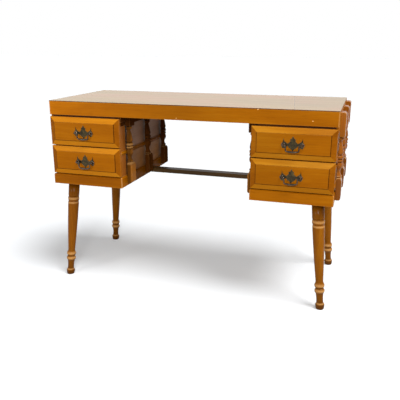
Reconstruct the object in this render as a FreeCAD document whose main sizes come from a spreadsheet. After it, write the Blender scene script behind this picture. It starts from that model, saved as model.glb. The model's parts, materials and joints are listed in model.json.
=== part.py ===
"""Double pedestal writing desk on splayed turned legs.

Millimetres. The origin is on the floor under the middle of the desk. +X is to the right of a person
who stands in front of the drawers, +Y points to the back and +Z points up.
"""
import FreeCAD, Part

import math
import os
from types import SimpleNamespace

import Sketcher

# Driving dimensions in millimetres: alias, value and what it measures
SIZES = (
    ("slab_width", 1134, "width of the top"),
    ("slab_depth", 475, "depth of the top"),
    ("slab_setback", 5, "distance of the top's middle behind the origin"),
    ("edging_height", 53.5, "height of the edging round the top"),
    ("edging_thickness", 18, "thickness of the edging round the top"),
    ("board_thickness", 20, "thickness of the board in the top"),
    ("laminate_thickness", 2.5, "thickness of the sheet on the top"),
    ("batten_width", 75, "width of the battens under the top"),
    ("leg_height", 421, "floor to the underside of the pedestals"),
    ("pedestal_width", 307, "width of a pedestal over its base"),
    ("base_height", 42, "height of the base rails"),
    ("base_bevel", 4, "bevel along the top of the base rails"),
    ("panel_recess", 9, "depth of the side panels behind rails and mouldings"),
    ("panel_thickness", 14, "thickness of the side panels"),
    ("back_thickness", 6, "thickness of the back panels"),
    ("floor_thickness", 18, "thickness of the floor boards"),
    ("rail_depth", 40, "depth of the top rails and the drawer dividers"),
    ("rail_height", 19, "height of the top rails"),
    ("divider_height", 18, "height of the drawer dividers and upper runners"),
    ("runner_width", 16, "width of the drawer runners"),
    ("top_moulding_height", 39, "height of the moulding under the top"),
    ("belt_height", 17, "height of the belt moulding"),
    ("belt_rise", 88, "distance of the belt moulding above the base rails"),
    ("column_width", 44, "width of the columns' blocks"),
    ("column_depth", 20, "how far the columns' blocks stand out"),
    ("column_inset", 62, "front of the case to the middle of the first column"),
    ("column_rear_inset", 20.5, "middle of the last column to the rear of the case"),
    ("column_lift", 10, "height of the columns' feet above the base's underside"),
    ("column_drop", 8, "distance of the outer columns' heads under the top's sheet"),
    ("column_block", 81.5, "height of the columns' lower blocks"),
    ("turning_length", 151.5, "height of the turned part of the columns"),
    ("block_rounding", 8, "radius on the outer corners of the blocks"),
    ("drawer_gap", 4, "gap under each drawer front"),
    ("top_gap", 7, "gap between the upper drawer fronts and the top"),
    ("front_inset", 2, "distance of the drawer fronts' ends inside the base's width"),
    ("front_height", 114, "height of the drawer fronts"),
    ("front_edge", 14, "thickness of the drawer fronts at their edges"),
    ("front_proud", 3, "how far the drawer fronts' edges stand before the top"),
    ("front_gap", 0.5, "gap between the drawer fronts and the case"),
    ("bevel_width", 21, "width of the bevel round the drawer fronts"),
    ("bevel_rise", 6.5, "rise of the bevel on the drawer fronts"),
    ("field_step", 1.5, "step up to the drawer fronts' raised field"),
    ("box_lift", 7.5, "height of the drawer boxes above their fronts' lower edge"),
    ("box_height", 90, "height of the drawer boxes"),
    ("box_rear_gap", 19, "gap between the drawer boxes and the back panels"),
    ("box_wall", 12, "thickness of the drawer sides and backs"),
    ("box_clearance", 2.5, "gap between the drawer boxes and the side panels"),
    ("bottom_thickness", 5, "thickness of the drawer bottoms"),
    ("bottom_rise", 8, "height of the drawer bottoms above the boxes' lower edge"),
    ("groove_depth", 6, "depth of the grooves that hold the drawer bottoms"),
    ("running_gap", 0.3, "gap between the drawer boxes and their runners"),
    ("plate_width", 82, "width of the handles' back plates"),
    ("plate_height", 55, "height of the handles' back plates"),
    ("plate_thickness", 1.6, "thickness of the handles' back plates"),
    ("handle_drop", 3, "distance of the handles' posts below the fronts' middle"),
    ("post_pitch", 67, "distance between the two posts of a handle"),
    ("post_height", 15, "how far the posts stand out of their plate"),
    ("post_radius", 6, "radius of the posts' round heads"),
    ("pivot_standoff", 9, "distance of the bails' pivot line before the plates"),
    ("shank_radius", 2, "radius of the posts' shanks"),
    ("nut_radius", 5, "radius of the nuts on the shanks"),
    ("nut_height", 3, "height of the nuts on the shanks"),
    ("bail_radius", 2.2, "radius of the bails' rod"),
    ("bail_width", 48, "distance between the two arms of a bail"),
    ("bail_drop", 24, "distance of the bails' grip below their pivot line"),
    ("bail_shoulder", 4, "radius of the bends beside the bails' pins"),
    ("bail_corner", 8, "radius of the bends beside the bails' grip"),
    ("bail_pin_reach", 4, "how far the bails' pins pass the middle of their posts"),
    ("belly_length", 28, "length of the thicker middle of the bails' grip"),
    ("belly_radius", 3.6, "radius of the thicker middle of the bails' grip"),
    ("leg_radius", 24, "largest radius of the legs"),
    ("foot_inset_side", 22.5, "ends of the top to the middle of the front feet"),
    ("rear_foot_inset_side", 25, "ends of the top to the middle of the rear feet"),
    ("foot_inset_front", 27.5, "front of the top to the middle of the front feet"),
    ("foot_inset_rear", 1.5, "rear of the top to the middle of the rear feet"),
    ("splay_side", 36, "how far the legs lean out sideways"),
    ("splay_depth", 26, "how far the legs lean out to the front and the back"),
    ("bolt_radius", 4, "radius of the legs' bolts"),
    ("bolt_depth", 30, "depth of the bolts in the legs"),
    ("bolt_nut_radius", 10, "radius of the flanged nuts on the bolts"),
    ("bolt_nut_height", 3, "height of the flanged nuts on the bolts"),
    ("stretcher_setback", 297.5, "front of the top to the front of the stretcher"),
    ("stretcher_depth", 42, "depth of the stretcher"),
    ("stretcher_height", 18, "height of the stretcher"),
    ("tenon_length", 8, "length of the stretcher's tenons"),
    ("tenon_shoulder", 4, "shoulder round the stretcher's tenons"),
    ("screw_radius", 2, "radius of the screws' shanks"),
    ("screw_length", 45, "length of the screws under their heads"),
    ("screw_head_radius", 4, "radius of the screws' heads"),
    ("screw_head_height", 3, "height of the screws' heads"),
    ("fit_gap", 0.05, "radial gap of bolts, screws and pins in their holes"),
    ("cut_overrun", 2, "how far cutting shapes run past what they cut"),
)

# Turned outlines, from the bottom up: height share, radius share and, where the run to the
# next point is an arc, its bulge as a share of the radius
LEG_TURNING_SHARES = (
    (-0.014, 0.40, 0.10),
    (0.026, 0.70, 0.10),
    (0.058, 0.57),
    (0.066, 0.56, -0.05),
    (0.148, 0.62),
    (0.156, 0.67, 0.14),
    (0.196, 0.67),
    (0.201, 0.60),
    (0.206, 0.67, 0.14),
    (0.250, 0.67, -0.02),
    (0.275, 0.62, 0.04),
    (0.775, 0.96),
    (0.790, 0.93),
    (0.796, 0.85),
    (0.802, 0.92, 0.06),
    (0.843, 0.92),
    (0.849, 0.85),
    (0.855, 0.955),
    (1.030, 0.955),
)
COLUMN_TURNING_SHARES = (
    (0.000, 0.90),
    (0.035, 0.78),
    (0.050, 0.92, -0.10),
    (0.170, 0.58, -0.05),
    (0.245, 0.82, 0.12),
    (0.385, 0.82),
    (0.393, 0.72),
    (0.400, 0.88, 0.07),
    (0.455, 0.88),
    (0.465, 0.72),
    (0.475, 0.90, 0.07),
    (0.545, 0.90),
    (0.560, 0.74, 0.08),
    (0.640, 0.90, 0.04),
    (0.880, 0.50),
    (0.915, 0.68, 0.16),
    (0.990, 0.68),
    (1.000, 0.86),
)
POST_TURNING_SHARES = (
    (0.00, 1.30),
    (0.10, 1.30, -0.06),
    (0.17, 0.75),
    (0.29, 0.75, 0.27),
    (1.00, 0.30),
)
BELLY_TURNING_SHARES = (
    (0.0, 0.60, 0.40),
    (1.0, 0.60),
)

# Moulding outlines: share of the depth, share of the height and bulge as a share of the depth
TOP_MOULDING_SHARES = (
    (0.0, 0.0),
    (0.45, 0.0, 0.10),
    (0.45, 0.22, -0.12),
    (0.80, 0.42),
    (1.0, 0.42),
    (1.0, 1.0),
    (0.0, 1.0),
)
BELT_SHARES = (
    (0.0, 0.0),
    (0.50, 0.0),
    (0.50, 0.18, 0.42),
    (0.50, 0.82),
    (0.50, 1.0),
    (0.0, 1.0),
)

# Right half of the handles' back plate from the lower tip to the upper tip: shares of half the
# width and of the height, counted from the posts' line, and bulge as a share of half the width
PLATE_OUTLINE_SHARES = (
    (0.00, -0.42, -0.03),
    (0.24, -0.22, 0.03),
    (0.42, -0.07),
    (0.54, -0.08),
    (0.66, -0.19, 0.12),
    (0.93, -0.10, 0.06),
    (0.92, 0.12, -0.03),
    (0.82, 0.44, -0.06),
    (0.63, 0.17),
    (0.44, 0.08, -0.02),
    (0.20, 0.26),
    (0.26, 0.36, -0.02),
    (0.10, 0.42),
    (0.00, 0.57),
)

# Rise of a quarter circle over its chord, as a share of its radius
QUARTER_BULGE_SHARE = 1 - math.sqrt(0.5)
# Where the columns' lower blocks begin to slope back to the turned part, shares of height and depth
SHOULDER_SHARES = (0.88, 0.80)


class Length:
    """A size that carries its spreadsheet formula, so that one sum gives both."""

    def __init__(self, formula, value):
        self.formula = formula
        self.value = value

    def __add__(self, other):
        other = as_length(other)
        return Length(f"({self.formula} + {other.formula})", self.value + other.value)

    def __sub__(self, other):
        other = as_length(other)
        return Length(f"({self.formula} - {other.formula})", self.value - other.value)

    def __mul__(self, other):
        other = as_length(other)
        return Length(f"({self.formula} * {other.formula})", self.value * other.value)

    def __truediv__(self, other):
        other = as_length(other)
        return Length(f"({self.formula} / {other.formula})", self.value / other.value)

    def __neg__(self):
        return Length(f"(0 - {self.formula})", -self.value)

    def __rmul__(self, other):
        return as_length(other) * self


def as_length(number):
    """Give a plain number the form of a Length."""
    if isinstance(number, Length):
        return number
    return Length(f"({number})", float(number))


ZERO = Length("0", 0.0)

doc = FreeCAD.newDocument("desk")
sheet = doc.addObject("Spreadsheet::Sheet", "Sizes")
for row, (alias, millimetres, meaning) in enumerate(SIZES, start=1):
    sheet.set(f"A{row}", alias)
    sheet.set(f"B{row}", str(millimetres))
    sheet.setAlias(f"B{row}", alias)
    sheet.set(f"C{row}", meaning)
doc.recompute()
size = SimpleNamespace(**{alias: Length(f"Sizes.{alias}", float(number)) for alias, number, _ in SIZES})
nodes = []


def node(thing, label):
    """Name a finished sub-part and keep it for writing."""
    thing.Label = label
    nodes.append(thing)
    return thing


def bind(thing, **lengths):
    """Tie properties to the sheet, such as Length or Radius."""
    for name, length in lengths.items():
        thing.setExpression(name, length.formula)


def place(thing, x, y, z, axis=None, degrees=0):
    """Put a shape at x, y, z, turned about an axis if one is given."""
    if axis is not None:
        thing.Placement.Rotation = FreeCAD.Rotation(FreeCAD.Vector(*axis), degrees)
    for letter, length in zip("xyz", (x, y, z)):
        thing.setExpression(f"Placement.Base.{letter}", length.formula)
    return thing


def board(name, x, y, z):
    """A board between the low and high ends given for each axis."""
    thing = doc.addObject("Part::Box", name)
    bind(thing, Length=x[1] - x[0], Width=y[1] - y[0], Height=z[1] - z[0])
    return place(thing, x[0], y[0], z[0])


def rod(name, radius, length, x, y, z, axis=None, degrees=0):
    """A cylinder that stands on x, y, z and points up, or along its turned axis."""
    thing = doc.addObject("Part::Cylinder", name)
    bind(thing, Radius=radius, Height=length)
    return place(thing, x, y, z, axis, degrees)


TO_FRONT = {"axis": (1, 0, 0), "degrees": 90}
TO_RIGHT = {"axis": (0, 1, 0), "degrees": 90}


def cut(name, base, *tools):
    """Take the tools away from the base."""
    tool = tools[0]
    if len(tools) > 1:
        tool = doc.addObject("Part::MultiFuse", f"{name}_tools")
        tool.Shapes = list(tools)
    thing = doc.addObject("Part::Cut", name)
    thing.Base = base
    thing.Tool = tool
    return thing


def fuse(name, *pieces):
    """Join pieces into one solid."""
    thing = doc.addObject("Part::MultiFuse", name)
    thing.Shapes = list(pieces)
    return thing


def group(label, pieces):
    """Keep like pieces together as separate solids of one sub-part."""
    thing = doc.addObject("Part::Compound", label)
    thing.Links = list(pieces)
    return node(thing, label)


def mirrored(side, low, high):
    """The span low to high on the right of the desk, or its mirror image on the left."""
    return (low, high) if side > 0 else (-high, -low)


def new_body(name):
    return doc.addObject("PartDesign::Body", name)


def new_sketch(body, role):
    """A sketch on one of the body's own origin planes."""
    plane = next(item for item in body.Origin.OriginFeatures if item.Role == role)
    sketch = body.newObject("Sketcher::SketchObject", f"{body.Name}_outline")
    sketch.AttachmentSupport = (plane, [""])
    sketch.MapMode = "FlatFace"
    return sketch


def draw(sketch, points, closed=True):
    """Draw lines and arcs through points (x, y, bulge) and tie every point to the sheet.

    A bulge is how far an arc to the next point rises over its chord, to the right of the way
    there.
    """
    runs = len(points) if closed else len(points) - 1
    ends = []
    rules = []
    for index in range(runs):
        start = points[index]
        stop = points[(index + 1) % len(points)]
        first = FreeCAD.Vector(start[0].value, start[1].value, 0)
        last = FreeCAD.Vector(stop[0].value, stop[1].value, 0)
        if len(start) == 2:
            edge = sketch.addGeometry(Part.LineSegment(first, last))
            ends.append((edge, 1, 2))
            continue
        bulge = start[2]
        chord = last - first
        aside = FreeCAD.Vector(chord.y, -chord.x, 0).normalize()
        crown = (first + last) / 2 + aside * bulge.value
        edge = sketch.addGeometry(Part.Arc(first, crown, last))
        near = 1 if sketch.getPoint(edge, 1).distanceToPoint(first) < chord.Length / 2 else 2
        ends.append((edge, near, 3 - near))
        rise = bulge if bulge.value > 0 else -bulge
        across = stop[0] - start[0]
        along = stop[1] - start[1]
        radius = (across * across + along * along) / (8 * rise) + rise / 2
        rules.append((Sketcher.Constraint("Radius", edge, radius.value), radius))
    for index, (edge, near, far) in enumerate(ends):
        rules.extend(pinned(edge, near, points[index]))
        if closed or index + 1 < runs:
            after = ends[(index + 1) % runs]
            rules.append((Sketcher.Constraint("Coincident", edge, far, after[0], after[1]), None))
        else:
            rules.extend(pinned(edge, far, points[-1]))
    apply_rules(sketch, rules)


def pinned(edge, end, point):
    """Constraints that hold one end of an edge at a point."""
    rules = []
    for kind, length, axis in (("DistanceX", point[0], -2), ("DistanceY", point[1], -1)):
        if length is ZERO:
            rules.append((Sketcher.Constraint("PointOnObject", edge, end, axis), None))
        else:
            rules.append((Sketcher.Constraint(kind, -1, 1, edge, end, length.value), length))
    return rules


def apply_rules(sketch, rules):
    """Add the constraints in one go and bind their values to the sheet."""
    indexes = sketch.addConstraint([rule for rule, _ in rules])
    for index, (_, length) in zip(indexes, rules):
        if length is not None:
            sketch.setExpression(f"Constraints[{index}]", length.formula)


def draw_circle(sketch, x, y, radius):
    """A circle tied to the sheet."""
    centre = FreeCAD.Vector(x.value, y.value, 0)
    edge = sketch.addGeometry(Part.Circle(centre, FreeCAD.Vector(0, 0, 1), radius.value))
    rules = pinned(edge, 3, (x, y))
    rules.append((Sketcher.Constraint("Radius", edge, radius.value), radius))
    apply_rules(sketch, rules)


def pad(body, sketch, length, sides="One side", back=False):
    """Pull a sketch out into a solid."""
    feature = body.newObject("PartDesign::Pad", f"{body.Name}_pad")
    feature.Profile = sketch
    feature.SideType = sides
    feature.Reversed = back
    bind(feature, Length=length)
    return feature


def turn(body, sketch, degrees):
    """Turn a sketch about its upright axis, by the same angle each way."""
    feature = body.newObject("PartDesign::Revolution", f"{body.Name}_turning")
    feature.Profile = sketch
    feature.ReferenceAxis = (sketch, ["V_Axis"])
    feature.Midplane = True
    feature.Angle = degrees
    return feature


def scaled(shares, x_size, y_size, bulge_size, x_start=ZERO, y_start=ZERO):
    """Turn a table of shares (x, y, bulge) into points."""
    points = []
    for x_share, y_share, *bulge_share in shares:
        x = ZERO if x_share == 0 and x_start is ZERO else x_start + x_size * x_share
        y = ZERO if y_share == 0 and y_start is ZERO else y_start + y_size * y_share
        points.append((x, y, *[bulge_size * share for share in bulge_share]))
    return points


def turned_outline(shares, height, radius, start=ZERO):
    """Close a turned outline (height share, radius share, bulge share) along its axis."""
    swapped = [(across, up, *bulge) for up, across, *bulge in shares]
    points = scaled(swapped, radius, height, radius, y_start=start)
    foot = (ZERO, points[0][1])
    head = (ZERO, points[-1][1])
    return [foot, *points, head]


# Levels and planes that several pieces share
x_end = size.slab_width / 2
x_inner = x_end - size.pedestal_width
x_middle = x_end - size.pedestal_width / 2
x_panel_outer = x_end - size.panel_recess - size.panel_thickness
x_panel_inner = x_inner + size.panel_recess + size.panel_thickness
y_front = size.slab_setback - size.slab_depth / 2
y_rear = y_front + size.slab_depth
y_face = y_front - size.front_proud
y_drawer_back = y_face + size.front_edge
y_case = y_drawer_back + size.front_gap
y_case_rear = y_rear - size.panel_recess
y_back = y_case_rear - size.back_thickness
y_field = y_face - size.bevel_rise - size.field_step
z_base = size.leg_height
z_base_top = z_base + size.base_height
z_floor_top = z_base + size.floor_thickness
z_lower = z_base_top + size.drawer_gap
z_upper = z_lower + size.front_height + size.drawer_gap
z_slab = z_upper + size.front_height + size.top_gap
z_board_top = z_slab + size.edging_height
z_board = z_board_top - size.board_thickness
z_rail = z_slab - size.rail_height
hole_radius = size.screw_radius + size.fit_gap

# Where the screws through the top rails stand: on the inner and the outer battens, in the middle of
# the front and the rear rails
batten_inner = (x_inner - size.column_depth, x_inner - size.column_depth + size.batten_width)
batten_outer = (x_end - size.edging_thickness - size.batten_width, x_end - size.edging_thickness)
screw_x = ((x_panel_inner + batten_inner[1]) / 2, (batten_outer[0] + x_panel_outer) / 2)
screw_y = (y_case + size.rail_depth / 2, y_back - size.rail_depth / 2)


def mitred_rail(name, corners, z, height, bevel=None):
    """A rail with mitred ends: its four corners in plan, its level and its height."""
    body = new_body(name)
    sketch = new_sketch(body, "XY_Plane")
    draw(sketch, corners)
    solid = pad(body, sketch, height)
    place(body, ZERO, ZERO, z)
    if bevel is not None:
        doc.recompute()
        edges = solid.Shape.Edges
        top = solid.Shape.BoundBox.ZMax
        upper = [edge for edge in edges if abs(edge.BoundBox.ZMin - top) < size.fit_gap.value]
        longest = max(upper, key=lambda edge: edge.Length)
        number = next(i for i, edge in enumerate(edges, start=1) if edge.isSame(longest))
        chamfer = body.newObject("PartDesign::Chamfer", f"{name}_bevel")
        chamfer.Base = (solid, [f"Edge{number}"])
        bind(chamfer, Size=bevel)
    return body


def make_top():
    """The top: a board with a sheet on it, edging round it and battens under it."""
    inset = size.edging_thickness
    x_core = x_end - inset
    y_core = (y_front + inset, y_rear - inset)
    node(board("top_board", (-x_core, x_core), y_core, (z_board, z_board_top)), "top_board")
    z_top = z_board_top + size.laminate_thickness
    sheet_spans = ((-x_end, x_end), (y_front, y_rear), (z_board_top, z_top))
    node(board("top_laminate", *sheet_spans), "top_laminate")
    outer = {
        "front": ((-x_end, y_front), (x_end, y_front)),
        "right": ((x_end, y_front), (x_end, y_rear)),
        "rear": ((x_end, y_rear), (-x_end, y_rear)),
        "left": ((-x_end, y_rear), (-x_end, y_front)),
    }
    inner = {
        "front": ((x_core, y_core[0]), (-x_core, y_core[0])),
        "right": ((x_core, y_core[1]), (x_core, y_core[0])),
        "rear": ((-x_core, y_core[1]), (x_core, y_core[1])),
        "left": ((-x_core, y_core[0]), (-x_core, y_core[1])),
    }
    for where, corners in outer.items():
        rail = mitred_rail(f"{where}_edging", corners + inner[where], z_slab, size.edging_height)
        node(rail, f"{where}_edging")
    battens = []
    for side in (1, -1):
        for number, span in enumerate((batten_inner, batten_outer)):
            name = f"batten_{'right' if side > 0 else 'left'}_{number}"
            solid = board(f"{name}_board", mirrored(side, *span), y_core, (z_slab, z_board))
            x = screw_x[number] if side > 0 else -screw_x[number]
            holes = screw_holes(name, [x], z_slab)
            battens.append(cut(name, solid, *holes))
    group("top_battens", battens)


def screw_holes(name, x_places, z):
    """Holes for the top's screws from a level upwards, at both ends of the rails' depth."""
    depth = size.screw_length
    overrun = size.cut_overrun
    holes = []
    for x in x_places:
        for y in screw_y:
            hole = rod(f"{name}_hole", hole_radius, depth + overrun, x, y, z - overrun)
            holes.append(hole)
    return holes


def make_screws():
    """The wood screws that hold the top to the pedestals, from below."""
    screws = []
    for side in (1, -1):
        for x_right in screw_x:
            x = x_right if side > 0 else -x_right
            for y in screw_y:
                shank = rod("screw_shank", size.screw_radius, size.screw_length, x, y, z_rail)
                z_head = z_rail - size.screw_head_height
                head = rod("screw_head", size.screw_head_radius, size.screw_head_height, x, y, z_head)
                screws.append(fuse("screw", shank, head))
    group("wood_screws", screws)


def make_case(side, name):
    """One pedestal's case: panels, floor, rails, divider and runners."""
    x_inside = mirrored(side, x_panel_inner, x_panel_outer)
    y_panel = (y_case, y_case_rear)
    z_panel = (z_base, z_slab)
    outer = mirrored(side, x_panel_outer, x_panel_outer + size.panel_thickness)
    inner = mirrored(side, x_panel_inner - size.panel_thickness, x_panel_inner)
    node(board(f"{name}_outer_panel", outer, y_panel, z_panel), f"{name}_outer_side_panel")
    node(board(f"{name}_inner_panel", inner, y_panel, z_panel), f"{name}_inner_side_panel")
    node(board(f"{name}_back", x_inside, (y_back, y_case_rear), z_panel), f"{name}_back_panel")

    slab = board(f"{name}_floor_slab", x_inside, (y_case, y_back), (z_base, z_floor_top))
    holes = []
    for end in (1, -1):
        x, y = leg_top(side, end)
        radius = size.bolt_radius + size.fit_gap
        length = size.floor_thickness + 2 * size.cut_overrun
        holes.append(rod(f"{name}_bolt_hole", radius, length, x, y, z_base - size.cut_overrun))
    node(cut(f"{name}_floor", slab, *holes), f"{name}_floor_board")

    rails = []
    for y in screw_y:
        y_span = (y - size.rail_depth / 2, y + size.rail_depth / 2)
        solid = board(f"{name}_rail_board", x_inside, y_span, (z_rail, z_slab))
        x_places = [x if side > 0 else -x for x in screw_x]
        rails.append(cut(f"{name}_rail", solid, *screw_holes(f"{name}_rail", x_places, z_rail)))
    group(f"{name}_top_rails", rails)

    z_upper_run = z_upper + size.box_lift - size.running_gap
    z_lower_run = z_lower + size.box_lift - size.running_gap
    y_rail = (y_case, y_case + size.rail_depth)
    z_divider = (z_upper_run - size.divider_height, z_upper_run)
    node(board(f"{name}_divider", x_inside, y_rail, z_divider), f"{name}_drawer_divider")
    runners = []
    for near in (x_panel_inner, x_panel_outer - size.runner_width):
        x_run = mirrored(side, near, near + size.runner_width)
        runners.append(board(f"{name}_upper_runner", x_run, (y_rail[1], y_back), z_divider))
        runners.append(board(f"{name}_lower_runner", x_run, (y_case, y_back), (z_floor_top, z_lower_run)))
    group(f"{name}_drawer_runners", runners)


def make_base(side, name):
    """One pedestal's base: four mitred rails round the foot of the case."""
    def plan(*corners):
        return [(x if side > 0 else -x, y) for x, y in corners]

    recess = size.panel_recess
    outer = ((x_inner, y_face), (x_end, y_face), (x_end, y_rear), (x_inner, y_rear))
    inner = (
        (x_inner + recess, y_case),
        (x_end - recess, y_case),
        (x_end - recess, y_case_rear),
        (x_inner + recess, y_case_rear),
    )
    rails = []
    for number in range(len(outer)):
        after = (number + 1) % len(outer)
        corners = plan(outer[number], outer[after], inner[after], inner[number])
        rails.append(mitred_rail(f"{name}_base_{number}", corners, z_base, size.base_height, size.base_bevel))
    front, outside, rear, inside = rails
    node(front, f"{name}_base_front_rail")
    node(rear, f"{name}_base_rear_rail")
    x_mortise = mirrored(side, x_inner - size.cut_overrun, x_inner + size.tenon_length + size.fit_gap)
    mortise = board(f"{name}_mortise", x_mortise, *tenon_spans(size.fit_gap))
    group(f"{name}_base_side_rails", [outside, cut(f"{name}_base_inside", inside, mortise)])


def tenon_spans(gap):
    """Spans of the stretcher's tenons in depth and height, with a gap all round."""
    y = y_front + size.stretcher_setback
    edge = size.tenon_shoulder - gap
    y_span = (y + edge, y + size.stretcher_depth - edge)
    z_span = (z_base + edge, z_base + size.stretcher_height - edge)
    return y_span, z_span


def make_stretcher():
    """The flat stretcher between the pedestals, with a tenon at each end."""
    y = y_front + size.stretcher_setback
    y_span = (y, y + size.stretcher_depth)
    z_span = (z_base, z_base + size.stretcher_height)
    bar = board("stretcher_bar", (-x_inner, x_inner), y_span, z_span)
    tenons = []
    for side in (1, -1):
        x_span = mirrored(side, x_inner - size.tenon_length, x_inner + size.tenon_length)
        tenons.append(board("stretcher_tenon", x_span, *tenon_spans(ZERO)))
    node(fuse("stretcher_solid", bar, *tenons), "stretcher")


def moulding(name, side, face, away, shares, z, height):
    """A moulding along a side panel: face is its plane, away is 1 if it points to higher x."""
    body = new_body(name)
    sketch = new_sketch(body, "XZ_Plane")
    outwards = side * away
    points = scaled(shares, size.panel_recess * outwards, height, size.panel_recess * outwards)
    draw(sketch, points)
    pad(body, sketch, y_case_rear - y_case, back=True)
    return place(body, face if side > 0 else -face, y_case, z)


def make_mouldings(side, name):
    """The mouldings under the top and the belts, on both sides of a pedestal."""
    z_top = z_slab - size.top_moulding_height
    z_belt = z_base_top + size.belt_rise
    pieces = []
    for where, face, away in (("outer", x_end - size.panel_recess, 1), ("inner", x_inner + size.panel_recess, -1)):
        label = f"{name}_{where}"
        height = size.top_moulding_height
        pieces.append(moulding(f"{label}_top_moulding", side, face, away, TOP_MOULDING_SHARES, z_top, height))
        pieces.append(moulding(f"{label}_belt", side, face, away, BELT_SHARES, z_belt, size.belt_height))
    group(f"{name}_side_mouldings", pieces)


def make_column(name, x, y, outwards, z_head):
    """A split turned column: square blocks with a half-round turning between them."""
    z_foot = z_base + size.column_lift
    z_turning = z_foot + size.column_block
    z_block = z_turning + size.turning_length
    deep = size.column_depth
    round_off = size.block_rounding
    body = new_body(name)
    turning = new_sketch(body, "XZ_Plane")
    draw(turning, turned_outline(COLUMN_TURNING_SHARES, size.turning_length, deep, z_turning))
    turn(body, turning, 180)

    lower = new_sketch(body, "XZ_Plane")
    bulge = round_off * QUARTER_BULGE_SHARE
    shoulder_up, shoulder_out = SHOULDER_SHARES
    draw(lower, [
        (ZERO, z_foot),
        (deep - round_off, z_foot, bulge),
        (deep, z_foot + round_off),
        (deep, z_foot + size.column_block * shoulder_up),
        (deep * shoulder_out, z_turning),
        (ZERO, z_turning),
    ])
    pad(body, lower, size.column_width, "Symmetric")

    upper = new_sketch(body, "XZ_Plane")
    if z_head is z_slab:
        crown = [(deep, z_head)]
    else:
        crown = [(deep, z_head - round_off, bulge), (deep - round_off, z_head)]
    draw(upper, [(ZERO, z_block), (deep, z_block), *crown, (ZERO, z_head)])
    pad(body, upper, size.column_width, "Symmetric")
    facing = {"axis": (0, 0, 1), "degrees": 0 if outwards > 0 else 180}
    return place(body, x, y, ZERO, **facing)


def make_columns(side, name):
    """Three columns on the outer side, over the edging, and three on the inner side, under the top."""
    first = y_case + size.column_inset
    pitch = (y_case_rear - size.column_rear_inset - first) / 2
    z_outer = z_board_top - size.column_drop
    for where, x_right, away, z_head in (("outer", x_end, 1, z_outer), ("inner", x_inner, -1, z_slab)):
        columns = []
        for number in range(3):
            y = first + pitch * number
            x = x_right if side > 0 else -x_right
            columns.append(make_column(f"{name}_{where}_column_{number}", x, y, side * away, z_head))
        group(f"{name}_{where}_columns", columns)


def foot_place(side, end):
    """The middle of a foot on the floor; end is 1 at the rear and -1 at the front."""
    x = x_end - (size.rear_foot_inset_side if end > 0 else size.foot_inset_side)
    y = y_rear - size.foot_inset_rear if end > 0 else y_front + size.foot_inset_front
    return (x if side > 0 else -x), y


def leg_top(side, end):
    """The middle of a leg under the pedestal."""
    x, y = foot_place(side, end)
    return x - size.splay_side * side, y - size.splay_depth * end


def make_leg(side, end, label):
    """A turned leg that leans outwards, cut level at the floor and under the pedestal."""
    body = new_body(f"{label}_turning")
    sketch = new_sketch(body, "XZ_Plane")
    draw(sketch, turned_outline(LEG_TURNING_SHARES, size.leg_height, size.leg_radius))
    turn(body, sketch, 360)
    x, y = foot_place(side, end)
    place(body, x, y, ZERO)
    side_lean = size.splay_side * side
    end_lean = size.splay_depth * end
    body.setExpression("Placement.Rotation.Axis.x", end_lean.formula)
    body.setExpression("Placement.Rotation.Axis.y", (-side_lean).formula)
    body.setExpression("Placement.Rotation.Axis.z", ZERO.formula)
    lean = size.splay_side * size.splay_side + size.splay_depth * size.splay_depth
    body.setExpression("Placement.Rotation.Angle", f"atan(sqrt({lean.formula}) / {size.leg_height.formula})")

    reach = size.splay_side + size.splay_depth + 2 * size.leg_radius
    room = board(f"{label}_room", (x - reach, x + reach), (y - reach, y + reach), (ZERO, z_base))
    level = doc.addObject("Part::Common", f"{label}_level")
    level.Base = body
    level.Tool = room
    x_bolt, y_bolt = leg_top(side, end)
    depth = size.bolt_depth + size.fit_gap
    radius = size.bolt_radius + size.fit_gap
    hole = rod(f"{label}_hole", radius, depth + size.cut_overrun, x_bolt, y_bolt, z_base - depth)
    return node(cut(f"{label}_bored", level, hole), label)


def make_leg_fixings():
    """A bolt in the head of each leg, through the floor board, with a flanged nut on it."""
    pieces = []
    for side in (1, -1):
        for end in (1, -1):
            x, y = leg_top(side, end)
            length = size.bolt_depth + size.floor_thickness + size.bolt_nut_height
            pieces.append(rod("leg_bolt", size.bolt_radius, length, x, y, z_base - size.bolt_depth))
            disc = rod("leg_nut_disc", size.bolt_nut_radius, size.bolt_nut_height, x, y, z_floor_top)
            bore = rod(
                "leg_nut_bore",
                size.bolt_radius + size.fit_gap,
                size.bolt_nut_height + 2 * size.cut_overrun,
                x,
                y,
                z_floor_top - size.cut_overrun,
            )
            pieces.append(cut("leg_nut", disc, bore))
    group("leg_fixings", pieces)


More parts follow.
